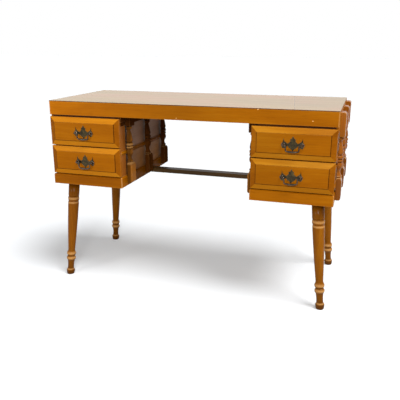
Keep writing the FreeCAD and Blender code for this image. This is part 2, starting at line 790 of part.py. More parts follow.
def make_drawer_front(label, x, z, z_bottom, box_half):
    """A drawer front with a bevelled raised field, bored for the handle and grooved for the bottom."""
    half = size.pedestal_width / 2 - size.front_inset
    slab = board(f"{label}_slab", (x - half, x + half), (y_face, y_drawer_back), (z, z + size.front_height))
    bevel = doc.addObject("Part::Wedge", f"{label}_bevel")
    field_half = half - size.bevel_width
    for name, length in {
        "Xmin": -half,
        "Xmax": half,
        "Zmin": ZERO,
        "Zmax": size.front_height,
        "Ymin": ZERO,
        "Ymax": size.bevel_rise,
        "X2min": -field_half,
        "X2max": field_half,
        "Z2min": size.bevel_width,
        "Z2max": size.front_height - size.bevel_width,
    }.items():
        bevel.setExpression(name, length.formula)
    place(bevel, x, y_face, z, axis=(0, 0, 1), degrees=180)
    y_step = y_face - size.bevel_rise
    field_z = (z + size.bevel_width, z + size.front_height - size.bevel_width)
    field = board(f"{label}_field", (x - field_half, x + field_half), (y_field, y_step), field_z)
    solid = fuse(f"{label}_solid", slab, bevel, field)

    overrun = size.cut_overrun
    tools = []
    for way in (1, -1):
        x_post = x + size.post_pitch / 2 * way
        length = y_drawer_back - y_field + 2 * overrun
        y_start = y_drawer_back + overrun
        radius = size.shank_radius + size.fit_gap
        tools.append(rod(f"{label}_bore", radius, length, x_post, y_start, handle_level(z), **TO_FRONT))
    reach = box_half - size.box_wall + size.groove_depth
    groove_y = (y_drawer_back - size.groove_depth, y_drawer_back + overrun)
    tools.append(board(f"{label}_groove", (x - reach, x + reach), groove_y, z_bottom))
    node(cut(f"{label}_cut", solid, *tools), label)


def make_drawer_box(label, x, z, z_bottom, box_half):
    """The box behind a drawer front: two grooved sides, a back and a bottom in the grooves."""
    y_end = y_back - size.box_rear_gap
    z_box = z + size.box_lift
    z_span = (z_box, z_box + size.box_height)
    inside = box_half - size.box_wall
    reach = inside + size.groove_depth
    pieces = []
    for way in (1, -1):
        near = (x + inside, x + box_half) if way > 0 else (x - box_half, x - inside)
        solid = board(f"{label}_side_board", near, (y_drawer_back, y_end), z_span)
        overrun = size.cut_overrun
        groove_y = (y_drawer_back - overrun, y_end + overrun)
        groove_x = (x - reach, x + reach)
        pieces.append(cut(f"{label}_side", solid, board(f"{label}_groove", groove_x, groove_y, z_bottom)))
    y_back_board = (y_end - size.box_wall, y_end)
    pieces.append(board(f"{label}_back", (x - inside, x + inside), y_back_board, (z_bottom[1], z_span[1])))
    y_bottom = (y_drawer_back - size.groove_depth, y_end)
    pieces.append(board(f"{label}_bottom", (x - reach, x + reach), y_bottom, z_bottom))
    group(label, pieces)


def handle_level(z):
    """The height of a handle's posts on a drawer front that starts at z."""
    return z + size.front_height / 2 - size.handle_drop


def make_plate(label, x, z):
    """The handle's back plate, with a hole for each post."""
    body = new_body(f"{label}_body")
    sketch = new_sketch(body, "XZ_Plane")
    half = size.plate_width / 2
    right = scaled(PLATE_OUTLINE_SHARES, half, size.plate_height, half)
    left = []
    for number in range(len(right) - 2, 0, -1):
        across, up = right[number][:2]
        left.append((-across, up, *right[number - 1][2:]))
    draw(sketch, [*right[:-1], (*right[-1][:2], *right[-2][2:]), *left])
    for way in (1, -1):
        draw_circle(sketch, size.post_pitch / 2 * way, ZERO, size.shank_radius + size.fit_gap)
    pad(body, sketch, size.plate_thickness)
    node(place(body, x, y_field, z), label)


def make_posts(label, x, z):
    """The handle's two posts, bored for the bail's pins, with their shanks and nuts."""
    y_seat = y_field - size.plate_thickness
    length = y_drawer_back - y_seat + size.nut_height
    bore = size.bail_radius + size.fit_gap
    pieces = []
    for way in (1, -1):
        x_post = x + size.post_pitch / 2 * way
        body = new_body(f"{label}_head")
        sketch = new_sketch(body, "XZ_Plane")
        draw(sketch, turned_outline(POST_TURNING_SHARES, size.post_height, size.post_radius))
        turn(body, sketch, 360)
        place(body, x_post, y_seat, z, **TO_FRONT)
        shank = rod(f"{label}_shank", size.shank_radius, length, x_post, y_seat + length, z, **TO_FRONT)
        post = fuse(f"{label}_post", body, shank)
        reach = size.post_radius + size.cut_overrun
        y_pivot = y_seat - size.pivot_standoff
        pivot = rod(f"{label}_pivot", bore, 2 * reach, x_post - reach, y_pivot, z, **TO_RIGHT)
        pieces.append(cut(f"{label}_bored", post, pivot))

        y_nut = y_drawer_back + size.nut_height
        disc = rod(f"{label}_nut_disc", size.nut_radius, size.nut_height, x_post, y_nut, z, **TO_FRONT)
        thread = size.shank_radius + size.fit_gap
        overrun = size.cut_overrun
        hole_length = size.nut_height + 2 * overrun
        hole = rod(f"{label}_nut_hole", thread, hole_length, x_post, y_nut + overrun, z, **TO_FRONT)
        pieces.append(cut(f"{label}_nut", disc, hole))
    group(label, pieces)


def make_bail(label, x, z):
    """The swinging bail: a bent rod between the posts, thicker in the middle of its grip."""
    y_pivot = y_field - size.plate_thickness - size.pivot_standoff
    arm = size.bail_width / 2
    tip = size.post_pitch / 2 + size.bail_pin_reach
    shoulder = size.bail_shoulder
    corner = size.bail_corner
    drop = size.bail_drop
    small = -shoulder * QUARTER_BULGE_SHARE
    large = corner * QUARTER_BULGE_SHARE
    half = [
        (tip, ZERO),
        (arm + shoulder, ZERO),
        (arm, -shoulder),
        (arm, corner - drop),
        (arm - corner, -drop),
    ]
    left = [(-across, up) for across, up in half]
    left[1] += (small,)
    left[3] += (large,)
    right = half[::-1]
    right[0] += (large,)
    right[2] += (small,)
    body = new_body(f"{label}_body")
    spine = new_sketch(body, "XZ_Plane")
    draw(spine, left + right, closed=False)
    section = new_sketch(body, "YZ_Plane")
    draw_circle(section, ZERO, ZERO, size.bail_radius)
    section.setExpression("AttachmentOffset.Base.z", (-tip).formula)
    doc.recompute()
    pipe = body.newObject("PartDesign::AdditivePipe", f"{label}_rod")
    pipe.Profile = section
    pipe.Spine = (spine, [f"Edge{number}" for number in range(1, len(left + right))])
    place(body, x, y_pivot, z)
    belly = new_body(f"{label}_belly")
    outline = new_sketch(belly, "XZ_Plane")
    draw(outline, turned_outline(BELLY_TURNING_SHARES, size.belly_length, size.belly_radius))
    turn(belly, outline, 360)
    place(belly, x - size.belly_length / 2, y_pivot, z - drop, **TO_RIGHT)
    node(fuse(f"{label}_solid", body, belly), label)


def make_drawer(side, pedestal, level, z):
    """One drawer with its handle."""
    name = f"{pedestal}_{level}"
    x = x_middle if side > 0 else -x_middle
    box_half = (x_panel_outer - x_panel_inner) / 2 - size.box_clearance
    z_groove = z + size.box_lift + size.bottom_rise
    z_bottom = (z_groove, z_groove + size.bottom_thickness)
    make_drawer_front(f"{name}_drawer_front", x, z, z_bottom, box_half)
    make_drawer_box(f"{name}_drawer_box", x, z, z_bottom, box_half)
    make_plate(f"{name}_handle_plate", x, handle_level(z))
    make_posts(f"{name}_handle_posts", x, handle_level(z))
    make_bail(f"{name}_handle_bail", x, handle_level(z))


def write_parts():
    """Check every object, then write one file for each sub-part."""
    doc.recompute()
    for thing in doc.Objects:
        if "Invalid" in thing.State or "Error" in thing.State:
            raise RuntimeError(f"{thing.Label} failed: {thing.State}")
    for thing in nodes:
        if thing.Shape.isNull() or not thing.Shape.isValid() or not thing.Shape.Solids:
            raise RuntimeError(f"{thing.Label} has no valid solid")
    os.makedirs("parts", exist_ok=True)
    for thing in nodes:
        thing.Shape.exportStep(os.path.join("parts", f"{thing.Label}.step"))
    whole = FreeCAD.BoundBox()
    for thing in nodes:
        whole.add(thing.Shape.optimalBoundingBox(False))
    print(f"{len(nodes)} sub-parts, {whole.XLength:.1f} x {whole.YLength:.1f} x {whole.ZLength:.1f} mm")
    print(f"from {whole.YMin:.1f} at the front to {whole.YMax:.1f} at the back")


make_top()
make_screws()
make_stretcher()
make_leg_fixings()
for side, pedestal in ((-1, "left"), (1, "right")):
    make_case(side, pedestal)
    make_base(side, pedestal)
    make_mouldings(side, pedestal)
    make_columns(side, pedestal)
    make_leg(side, -1, f"{pedestal}_front_leg")
    make_leg(side, 1, f"{pedestal}_rear_leg")
    make_drawer(side, pedestal, "lower", z_lower)
    make_drawer(side, pedestal, "upper", z_upper)
write_parts()
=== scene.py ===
# %% [markdown]
# # A double pedestal writing desk
# The desk has a long flat top, two pedestals with two drawers each, turned columns on the sides of
# the pedestals and four turned legs. The solids of its construction are loaded first. What shows is
# then modelled again with eased edges and fine turnings, and every piece gets its finish.

# %% Load the frame
import json
import math

import bmesh
import bpy
from mathutils import Matrix, Vector


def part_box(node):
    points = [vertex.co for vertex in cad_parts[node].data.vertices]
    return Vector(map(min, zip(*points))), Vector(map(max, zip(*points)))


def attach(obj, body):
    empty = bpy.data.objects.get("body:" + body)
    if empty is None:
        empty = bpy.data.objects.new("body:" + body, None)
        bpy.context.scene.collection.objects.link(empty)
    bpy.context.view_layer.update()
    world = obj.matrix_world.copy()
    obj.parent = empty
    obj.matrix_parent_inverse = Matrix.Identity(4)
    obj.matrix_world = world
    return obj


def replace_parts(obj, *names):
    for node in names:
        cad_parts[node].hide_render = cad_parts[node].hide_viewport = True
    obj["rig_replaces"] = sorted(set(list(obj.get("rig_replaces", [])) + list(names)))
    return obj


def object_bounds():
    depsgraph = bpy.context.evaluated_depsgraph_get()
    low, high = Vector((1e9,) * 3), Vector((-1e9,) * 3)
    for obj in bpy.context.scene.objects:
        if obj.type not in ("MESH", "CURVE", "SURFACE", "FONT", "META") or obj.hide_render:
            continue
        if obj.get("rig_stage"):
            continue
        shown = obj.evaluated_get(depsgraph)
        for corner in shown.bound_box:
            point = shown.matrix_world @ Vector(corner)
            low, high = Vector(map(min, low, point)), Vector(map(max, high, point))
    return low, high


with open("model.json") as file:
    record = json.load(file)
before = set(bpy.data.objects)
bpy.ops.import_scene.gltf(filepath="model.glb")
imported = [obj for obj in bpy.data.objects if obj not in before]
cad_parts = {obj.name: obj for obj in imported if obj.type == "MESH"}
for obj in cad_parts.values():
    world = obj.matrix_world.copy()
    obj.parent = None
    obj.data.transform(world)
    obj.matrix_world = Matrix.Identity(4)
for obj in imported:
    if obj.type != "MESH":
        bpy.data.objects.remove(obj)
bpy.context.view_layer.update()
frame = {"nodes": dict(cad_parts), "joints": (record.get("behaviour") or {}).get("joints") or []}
MM = 0.001
SIDES = {"left": -1, "right": 1}

# %% [markdown]
# ## The camera
# The photograph was taken from the right of the desk's middle and from a little above the top. A camera
# can be moved by eye until both pictures agree. Here its place was worked out from the corners of the
# top, the pedestals and the feet, which is more exact and fixes the proportions as well.

# %% Camera
CAMERA_PLACE = (0.65242, -2.09670, 0.99388)
CAMERA_TURN = 0.304
CAMERA_DIP = 0.294
CAMERA_LENS = 47.63

scene = bpy.context.scene
scene.view_settings.view_transform = "Standard"
camera_data = bpy.data.cameras.new("camera")
camera_data.lens = CAMERA_LENS
camera = bpy.data.objects.new("camera", camera_data)
scene.collection.objects.link(camera)
camera.location = CAMERA_PLACE
camera.rotation_euler = (math.pi / 2 - CAMERA_DIP, 0, CAMERA_TURN)
scene.camera = camera
print("camera", CAMERA_PLACE)

# %% [markdown]
# ## Working in edit mode
# The pieces are modelled as by hand: a primitive is added, faces, edges or corners are picked by
# their place, and an operator shapes them. Meshes could also be written down point by point, but
# operators read like the steps of a maker. A few helpers keep that short. An operator acts on all that
# is selected, so each helper starts by deselecting everything.


# %% Helpers for picking and shaping
FACING = 0.9


def deselect():
    """Leave edit mode and deselect every object."""
    if bpy.context.mode != "OBJECT":
        bpy.ops.object.mode_set(mode="OBJECT")
    bpy.ops.object.select_all(action="DESELECT")


def take(piece):
    """Make a piece the active one and the only one selected."""
    deselect()
    piece.select_set(True)
    bpy.context.view_layer.objects.active = piece


def edit(piece, action="DESELECT"):
    """Open a piece in edit mode, to pick corners, with nothing or all selected."""
    take(piece)
    bpy.ops.object.mode_set(mode="EDIT")
    bpy.ops.mesh.select_mode(type="VERT")
    bpy.ops.mesh.select_all(action=action)


def leave():
    """Go back to object mode."""
    bpy.ops.object.mode_set(mode="OBJECT")


def pick(piece, kind, test):
    """In edit mode, select the verts, edges or faces that pass a test."""
    bpy.ops.mesh.select_mode(type={"verts": "VERT", "edges": "EDGE", "faces": "FACE"}[kind])
    bpy.ops.mesh.select_all(action="DESELECT")
    shape = bmesh.from_edit_mesh(piece.data)
    for item in getattr(shape, kind):
        if test(item):
            item.select_set(True)
    bmesh.update_edit_mesh(piece.data)


def faces_front(face):
    """Whether a face points to the front."""
    return face.normal.y < -FACING


def settle(name):
    """Name the new object and move its place into its mesh."""
    piece = bpy.context.object
    piece.name = name
    piece.data.name = name
    bpy.ops.object.transform_apply(location=True, rotation=True, scale=True)
    return piece


def block(name, low, high):
    """A plain block between two corners, as a start."""
    deselect()
    low, high = Vector(low), Vector(high)
    bpy.ops.mesh.primitive_cube_add(size=1, location=(low + high) / 2, scale=high - low)
    return settle(name)


def ease(piece, width, segments=3, angle=30):
    """Round the sharp edges a little and keep the flat faces flat."""
    take(piece)
    bpy.ops.object.shade_smooth()
    edges = piece.modifiers.new("eased edges", "BEVEL")
    edges.width = width
    edges.segments = segments
    edges.limit_method = "ANGLE"
    edges.angle_limit = math.radians(angle)
    flat = piece.modifiers.new("flat faces", "WEIGHTED_NORMAL")
    flat.keep_sharp = True
    for name in (edges.name, flat.name):
        bpy.ops.object.modifier_apply(modifier=name)
    return piece


def smooth(piece, angle):
    """Shade a piece smooth, but for edges sharper than an angle in degrees."""
    take(piece)
    bpy.ops.object.shade_smooth_by_angle(angle=math.radians(angle))
    return piece


def join(piece, *others):
    """Make one piece of several."""
    take(piece)
    for other in others:
        other.select_set(True)
    bpy.ops.object.join()
    return piece


def copy_piece(piece, name, move=Matrix.Identity(4)):
    """A copy with its own mesh, moved or turned in its mesh."""
    copied = piece.copy()
    copied.data = piece.data.copy()
    copied.name = name
    copied.data.name = name
    scene.collection.objects.link(copied)
    copied.data.transform(move)
    return copied


# %% [markdown]
# ## Outlines, turnings and mouldings
# A turned leg or column begins as an outline from its foot to its head. One vertex is extruded from
# point to point, and the line is spun about the axis. A moulding or a plate is the same kind of line,
# filled and extruded. A Screw modifier would do the same, but a spun mesh can be cut and joined at once.
# Round stretches are given as arcs: a bulge says how far the arc rises over its chord, to the right of
# the way along it.


# %% Helpers for outlines
ARC_STEP = math.radians(14)
SPIN_STEPS = 40


def bow(start, stop, rise):
    """Points along an arc after its start, up to its stop."""
    chord = stop - start
    half = chord.length / 2
    aside = Vector((chord.y, -chord.x)).normalized()
    radius = (half * half + rise * rise) / (2 * abs(rise))
    centre = (start + stop) / 2 + aside * (rise - math.copysign(radius, rise))
    sweep = 2 * math.asin(min(1.0, half / radius)) * math.copysign(1, rise)
    steps = max(3, math.ceil(abs(sweep) / ARC_STEP))
    turns = [Matrix.Rotation(sweep * step / steps, 2) for step in range(1, steps + 1)]
    return [centre + turn @ (start - centre) for turn in turns]


def traced(points):
    """Turn points (x, y, bulge) into a line with its arcs filled in."""
    line = [Vector(points[0][:2])]
    for here, there in zip(points, points[1:]):
        stop = Vector(there[:2])
        if len(here) > 2:
            line.extend(bow(line[-1], stop, here[2]))
        else:
            line.append(stop)
    return line


def scaled(shares, width, height):
    """Points (x, y, bulge) from shares of a width and a height. A bulge is a share of the width."""
    return [(across * width, up * height, *[b * width for b in bulge]) for across, up, *bulge in shares]


def draw_line(name, points):
    """Extrude one vertex along points in space."""
    deselect()
    points = [Vector(point) for point in points]
    bpy.ops.mesh.primitive_plane_add(size=MM, location=points[0])
    piece = settle(name)
    edit(piece, "SELECT")
    bpy.ops.mesh.merge(type="CENTER")
    for before, after in zip(points, points[1:]):
        bpy.ops.mesh.extrude_vertices_move(TRANSFORM_OT_translate={"value": after - before})
    leave()
    return piece


def tidy_shell(piece):
    """Merge doubles and point the faces outwards."""
    edit(piece, "SELECT")
    bpy.ops.mesh.remove_doubles(threshold=0.01 * MM)
    bpy.ops.mesh.normals_make_consistent(inside=False)
    leave()


def lathe(name, outline, steps=SPIN_STEPS, crisp=35):
    """Spin an outline of (radius, height) about the Z axis."""
    piece = draw_line(name, [(radius, 0, height) for radius, height in outline])
    edit(piece, "SELECT")
    bpy.ops.mesh.spin(steps=steps, angle=2 * math.pi, center=(0, 0, 0), axis=(0, 0, 1))
    leave()
    tidy_shell(piece)
    return smooth(piece, crisp)


def prism(name, corners, along):
    """Fill an outline of points in space and extrude it."""
    piece = draw_line(name, corners)
    edit(piece, "SELECT")
    bpy.ops.mesh.edge_face_add()
    bpy.ops.mesh.extrude_region_move(TRANSFORM_OT_translate={"value": along})
    leave()
    tidy_shell(piece)
    return piece


def cut_level(piece, point, normal):
    """Cut a piece with a plane, take away what lies on the normal's side and close the cut."""
    edit(piece, "SELECT")
    bpy.ops.mesh.bisect(plane_co=point, plane_no=normal, use_fill=True, clear_outer=True)
    leave()


def turned(shares, height, radius):
    """The line of a turning from shares of its height and radius, closed to its axis."""
    line = traced(scaled([(across, up, *bulge) for up, across, *bulge in shares], radius, height))
    return [Vector((0, line[0].y)), *line, Vector((0, line[-1].y))]


# %% [markdown]
# ## The finishes
# Every finish is a small network of nodes: noise gives the pattern, ramps give it tones, and the shader
# takes the result. A photographed texture would be quicker, but it would bring the light of its day
# along. All patterns read Object coordinates, so they keep their real size. A small class makes nodes,
# links them and returns the socket that the next node needs.


# %% Helpers for finishes
def srgb(red, green, blue):
    """A colour as seen on a screen, from 0 to 255, as a shader colour."""
    def linear(level):
        share = level / 255
        return share / 12.92 if share <= 0.04045 else ((share + 0.055) / 1.055) ** 2.4

    return (linear(red), linear(green), linear(blue), 1)


class Finish:
    """A node material under construction."""

    def __init__(self, name):
        self.material = bpy.data.materials.new(name)
        self.material.use_nodes = True
        self.nodes = self.material.node_tree.nodes
        self.shader = self.nodes["Principled BSDF"]
        self.place = self.add("ShaderNodeTexCoord").outputs["Object"]

    def add(self, kind, values=(), **settings):
        """A new node with settings, and with values on its sockets."""
        node = self.nodes.new(kind)
        for name, value in settings.items():
            setattr(node, name, value)
        for socket, value in dict(values).items():
            node.inputs[socket].default_value = value
        return node

    def link(self, source, target):
        self.material.node_tree.links.new(source, target)

    def feed(self, source, name):
        """Link a value to one of the shader's own sockets."""
        self.link(source, self.shader.inputs[name])

    def noise(self, scale, detail=3, rough=0.5, distortion=0.0):
        """Noise with a scale for each axis, in waves per metre."""
        mapping = self.add("ShaderNodeMapping", {"Scale": scale})
        self.link(self.place, mapping.inputs["Vector"])
        values = {"Scale": 1, "Detail": detail, "Roughness": rough, "Distortion": distortion}
        noise = self.add("ShaderNodeTexNoise", values)
        self.link(mapping.outputs["Vector"], noise.inputs["Vector"])
        return noise.outputs["Fac"]

    def ramp(self, source, *stops):
        """Colours or grey levels by value."""
        ramp = self.add("ShaderNodeValToRGB").color_ramp
        node = self.nodes[-1]
        while len(ramp.elements) < len(stops):
            ramp.elements.new(0.5)
        for element, (position, colour) in zip(ramp.elements, stops):
            element.position = position
            element.color = colour if isinstance(colour, tuple) else (colour, colour, colour, 1)
        self.link(source, node.inputs["Fac"])
        return node.outputs["Color"]

    def sum(self, first, second, share):
        """A weighted mean of two values."""
        mix = self.add("ShaderNodeMix", {"Factor": share})
        self.link(first, mix.inputs["A"])
        self.link(second, mix.inputs["B"])
        return mix.outputs["Result"]

    def blend(self, mask, first, second, kind="MIX"):
        """Mix two colours by a mask, a number or a socket."""
        mix = self.add("ShaderNodeMix", data_type="RGBA", blend_type=kind)
        for source, index in ((mask, 0), (first, 6), (second, 7)):
            if isinstance(source, (float, int, tuple)):
                mix.inputs[index].default_value = source
            else:
                self.link(source, mix.inputs[index])
        return mix.outputs[2]

    def spread(self, source, low, high, start=0.0, stop=1.0):
        """Map a value from start and stop to a range."""
        values = {"From Min": start, "From Max": stop, "To Min": low, "To Max": high}
        node = self.add("ShaderNodeMapRange", values)
        self.link(source, node.inputs["Value"])
        return node.outputs["Result"]

    def bump(self, source, strength, depth):
        """Raise the surface by a value."""
        node = self.add("ShaderNodeBump", {"Strength": strength, "Distance": depth})
        self.link(source, node.inputs["Height"])
        self.feed(node.outputs["Normal"], "Normal")

    def corners(self, distance, inside=False):
        """Light that reaches a point: low in hollows, or, from inside, low along edges."""
        values = {"Distance": distance}
        node = self.add("ShaderNodeAmbientOcclusion", values, only_local=True, inside=inside, samples=8)
        return node.outputs["AO"]

    def reach(self, direction):
        """How far a point lies along a direction, in metres."""
        node = self.add("ShaderNodeVectorMath", {1: direction}, operation="DOT_PRODUCT")
        self.link(self.place, node.inputs[0])
        return node.outputs["Value"]

    def along(self, direction, limits, stops):
        """Colours or grey levels by how far a point lies between two limits along a direction."""
        return self.ramp(self.spread(self.reach(direction), 0, 1, *limits), *stops)

    def below(self, source, limit):
        """One where a value is less than a limit, zero elsewhere."""
        node = self.add("ShaderNodeMath", {1: limit}, operation="LESS_THAN")
        self.link(source, node.inputs[0])
        return node.outputs["Value"]

    def near(self, point, radius):
        """One within a radius of a point, zero elsewhere."""
        node = self.add("ShaderNodeVectorMath", {1: point}, operation="DISTANCE")
        self.link(self.place, node.inputs[0])
        return self.below(node.outputs["Value"], radius)

    def set(self, **values):
        """Constant values on the shader's own sockets."""
        for name, value in values.items():
            self.shader.inputs[name.replace("_", " ")].default_value = value


# %% [markdown]
# ## Wood
# The desk is wood under an amber lacquer. Its grain runs along each board: noise stretched along the
# grain gives the fine lines and the pores, and a broad noise gives the slow changes of tone. Edges are
# made pale, partly as wear and partly as painted highlights, and hollows are darkened as painted shade.
# Both are found by ambient occlusion, from inside and from outside, so they follow any shape. A board
# may also carry painted light and shade along a direction.


# %% Wood
AXES = "xyz"
ASIDE = (1, 0, 0)
BACK = (0, 1, 0)
UP = (0, 0, 1)
BROAD_GRAIN = (2.2, 11)
FINE_GRAIN = (5, 150)
PORE_GRAIN = (24, 900)
GRAIN_STRENGTH = 0.12
GRAIN_DEPTH = 0.2 * MM
SMOOTHER = 0.06
ROUGHER = 0.1
EDGE_REACH = 3.2 * MM
HOLLOW_SHADE_REACH = 6 * MM
HOLLOW_SHADE_LEVEL = 0.35
WEAR_AND_GLINT_COLOUR = srgb(232, 176, 106)


def stretched(axis, along, across):
    """Noise scales for a grain along one axis."""
    return tuple(along if letter == axis else across for letter in AXES)


def wood(name, axis, tones, gloss, rough, wear_and_glint=0.0, painted_light=None, highlight_rings=None, front_shade=None, nicks=()):
    """Wood with its grain along one axis, under lacquer.

    Painted shade darkens the hollows, and the edges are made pale by a share, as wear and as painted
    highlights. Painted light is a direction, two limits along it and levels of brightness or tints
    between them. Highlight rings are two heights, and for each painted highlight its start, middle and
    stop between them with its share of pale. A front shade is a limit to the front and a tint of painted
    shade for what lies before it. Nicks are chips in the lacquer.
    """
    dark, middle, light = [srgb(*tone) for tone in tones]
    finish = Finish(name)
    broad = finish.noise(stretched(axis, *BROAD_GRAIN), detail=2, distortion=0.6)
    fine = finish.noise(stretched(axis, *FINE_GRAIN), detail=5, rough=0.62, distortion=0.3)
    pores = finish.noise(stretched(axis, *PORE_GRAIN), detail=2)
    tone = finish.sum(broad, fine, 0.35)
    colour = finish.ramp(tone, (0.32, dark), (0.50, middle), (0.68, light))
    lines = finish.ramp(pores, (0.34, 0.86), (0.47, 1.0))
    colour = finish.blend(1.0, colour, lines, "MULTIPLY")
    if wear_and_glint:
        # Pale edges, partly wear and partly painted highlights; then hollows darkened as painted shade.
        pale_edges = finish.ramp(finish.corners(EDGE_REACH, inside=True), (0.52, wear_and_glint), (0.80, 0.0))
        colour = finish.blend(pale_edges, colour, WEAR_AND_GLINT_COLOUR)
        hollow_shade = finish.ramp(finish.corners(HOLLOW_SHADE_REACH), (0.50, HOLLOW_SHADE_LEVEL), (0.90, 1.0))
        colour = finish.blend(1.0, colour, hollow_shade, "MULTIPLY")
    # Painted light and shade along a direction.
    if painted_light:
        colour = finish.blend(1.0, colour, finish.along(*painted_light), "MULTIPLY")
    # Painted highlights on the rings of a turning.
    if highlight_rings:
        limits, marks = highlight_rings
        stops = []
        for low, peak, high, share in marks:
            stops += [(low, 0.0), (peak, share), (high, 0.0)]
        colour = finish.blend(finish.along(UP, limits, stops), colour, WEAR_AND_GLINT_COLOUR)
    # Painted shade on what lies before a limit to the front.
    if front_shade:
        limit, shade_tint = front_shade
        front_shaded = finish.blend(1.0, colour, shade_tint, "MULTIPLY")
        colour = finish.blend(finish.below(finish.reach(BACK), limit), colour, front_shaded)
    for place, radius in nicks:
        colour = finish.blend(finish.near(place, radius), colour, WEAR_AND_GLINT_COLOUR)
    finish.feed(colour, "Base Color")
    finish.feed(finish.spread(fine, rough - SMOOTHER, rough + ROUGHER), "Roughness")
    finish.bump(finish.sum(fine, pores, 0.5), GRAIN_STRENGTH, GRAIN_DEPTH)
    finish.set(Specular_IOR_Level=gloss)
    return finish.material


# %% [markdown]
# ## The common wood finish
# Most of the desk has the same honey lacquer, with the grain from side to side or from front to back.
# Many pieces get a finish of their own where they are modelled: some have a tone of their own, and
# many carry painted light and shade. The places between which a tone changes are read from the
# solids, so that they stay right if the sizes change.


# %% Common wood finish
HONEY_TONES = ((148, 81, 1), (163, 94, 3), (177, 109, 10))
HONEY_LACQUER = {"gloss": 0.04, "rough": 0.34, "wear_and_glint": 0.3}


def extent(node, axis):
    """Where a solid starts and stops along an axis."""
    return [getattr(corner, axis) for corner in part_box(node)]


honey = {axis: wood(f"honey_wood_{axis}", axis, HONEY_TONES, **HONEY_LACQUER) for axis in "xy"}
print("wood finishes", list(honey))

# %% [markdown]
# ## Laminate, brass and steel
# The top is a sheet with a printed grain under a glossy face. Its cut edge shows as a thin dark line.
# The handles are darkened brass: olive brown, and lighter along the edges that hands have rubbed. Plates
# are worn less than posts and bails, so one helper makes two brasses from their tones.


# %% Other finishes
SEAM_ACROSS = (1, 0.135, 0)
SEAM_PLACE = 0.382
SEAM_WIDTH = 2 * MM
SEAM_COLOUR = srgb(140, 114, 88)
BEYOND_TINT = (0.95, 0.95, 0.96, 1)
PLATE_BRASS_TONES = ((24, 17, 6), (47, 38, 16), (84, 70, 34))
WORN_BRASS_TONES = ((20, 13, 6), (46, 33, 18), (104, 82, 54))


def make_laminate():
    """The printed sheet of the top, with a seam near its right end."""
    finish = Finish("top_laminate_sheet")
    broad = finish.noise((1.6, 9, 9), detail=2, distortion=0.8)
    fine = finish.noise((2.5, 95, 95), detail=5, rough=0.6, distortion=0.4)
    patches = finish.noise((3, 6, 6), detail=1)
    blush = finish.ramp(patches, (0.40, srgb(168, 140, 96)), (0.62, srgb(175, 136, 98)))
    streaks = finish.ramp(finish.sum(broad, fine, 0.5), (0.30, 0.80), (0.50, 0.98), (0.70, 1.12))
    colour = finish.blend(1.0, blush, streaks, "MULTIPLY")
    across = finish.reach(SEAM_ACROSS)
    beyond = finish.blend(1.0, colour, BEYOND_TINT, "MULTIPLY")
    seam = finish.blend(finish.below(across, SEAM_PLACE), beyond, SEAM_COLOUR)
    colour = finish.blend(finish.below(across, SEAM_PLACE - SEAM_WIDTH), seam, colour)
    finish.feed(colour, "Base Color")
    finish.feed(finish.spread(fine, 0.2, 0.3), "Roughness")
    finish.bump(fine, 0.04, 0.1 * MM)
    finish.set(Specular_IOR_Level=0.28)
    return finish.material


def make_laminate_edge():
    """The cut edge of the sheet, dark with grime."""
    finish = Finish("laminate_edge")
    grime = finish.noise((60, 60, 200), detail=3)
    colour = finish.ramp(grime, (0.35, srgb(58, 34, 14)), (0.65, srgb(96, 60, 26)))
    finish.feed(colour, "Base Color")
    finish.set(Roughness=0.6, Specular_IOR_Level=0.2)
    return finish.material


def make_brass(name, tones, coat):
    """Darkened brass with dark, middle and light tones, under a share of old lacquer."""
    dark, middle, light = [srgb(*tone) for tone in tones]
    finish = Finish(name)
    patina = finish.noise((320, 320, 320), detail=4, rough=0.6)
    cloud = finish.noise((70, 70, 70), detail=2)
    tone = finish.sum(patina, cloud, 0.4)
    colour = finish.ramp(tone, (0.34, dark), (0.50, middle), (0.68, light))
    pale_edges = finish.ramp(finish.corners(1.2 * MM, inside=True), (0.40, 0.5), (0.75, 0.0))
    colour = finish.blend(pale_edges, colour, srgb(168, 146, 108))
    finish.feed(colour, "Base Color")
    finish.feed(finish.spread(tone, 0.42, 0.22), "Roughness")
    finish.bump(patina, 0.15, 0.15 * MM)
    finish.set(Metallic=0.85, Coat_Weight=coat, Coat_Roughness=0.12)
    return finish.material


def make_steel():
    """Zinc plated steel for screws and bolts."""
    finish = Finish("zinc_steel")
    cloud = finish.noise((400, 400, 400), detail=3)
    colour = finish.ramp(cloud, (0.3, srgb(150, 150, 146)), (0.7, srgb(190, 190, 184)))
    finish.feed(colour, "Base Color")
    finish.feed(finish.spread(cloud, 0.3, 0.5), "Roughness")
    finish.set(Metallic=1.0)
    return finish.material


laminate = make_laminate()
laminate_edge = make_laminate_edge()
plate_brass = make_brass("plate_brass", PLATE_BRASS_TONES, coat=0.15)
worn_brass = make_brass("worn_brass", WORN_BRASS_TONES, coat=0.5)
steel = make_steel()
print("finishes", len(bpy.data.materials))

# %% [markdown]
# ## Seating a piece
# Each new piece gets its finish, rides on the body that carries it and stands for its solid, which is
# then hidden. One helper does all of it, so that nothing is forgotten on any piece.


# %% Helper for seating
WOOD_SLOT = "honey_wood"
METAL_SLOT = "aged_bronze"
made = []


def seat(piece, body, node, slot, *materials):
    """Give a piece its finish, its body and the solid that it stands for, if any. Its slot is not used."""
    kept = [face.material_index for face in piece.data.polygons]
    piece.data.materials.clear()
    for material in materials:
        piece.data.materials.append(material)
    if len(materials) > 1:
        piece.data.polygons.foreach_set("material_index", kept)
    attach(piece, body)
    if node:
        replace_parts(piece, node)
    made.append(piece)
    return piece


# %% [markdown]
# ## The top
# Four mitred edging boards stand round the board of the top, and the laminate covers them. A mitre could
# be cut by bisecting each end. Drawing in the corners of the block's inner face is one move for each end
# and keeps six clean faces. The front board carries painted light: it is lighter to the left and darker
# in its middle. Its lacquer has three chips. The laminate keeps a second finish on its edge.


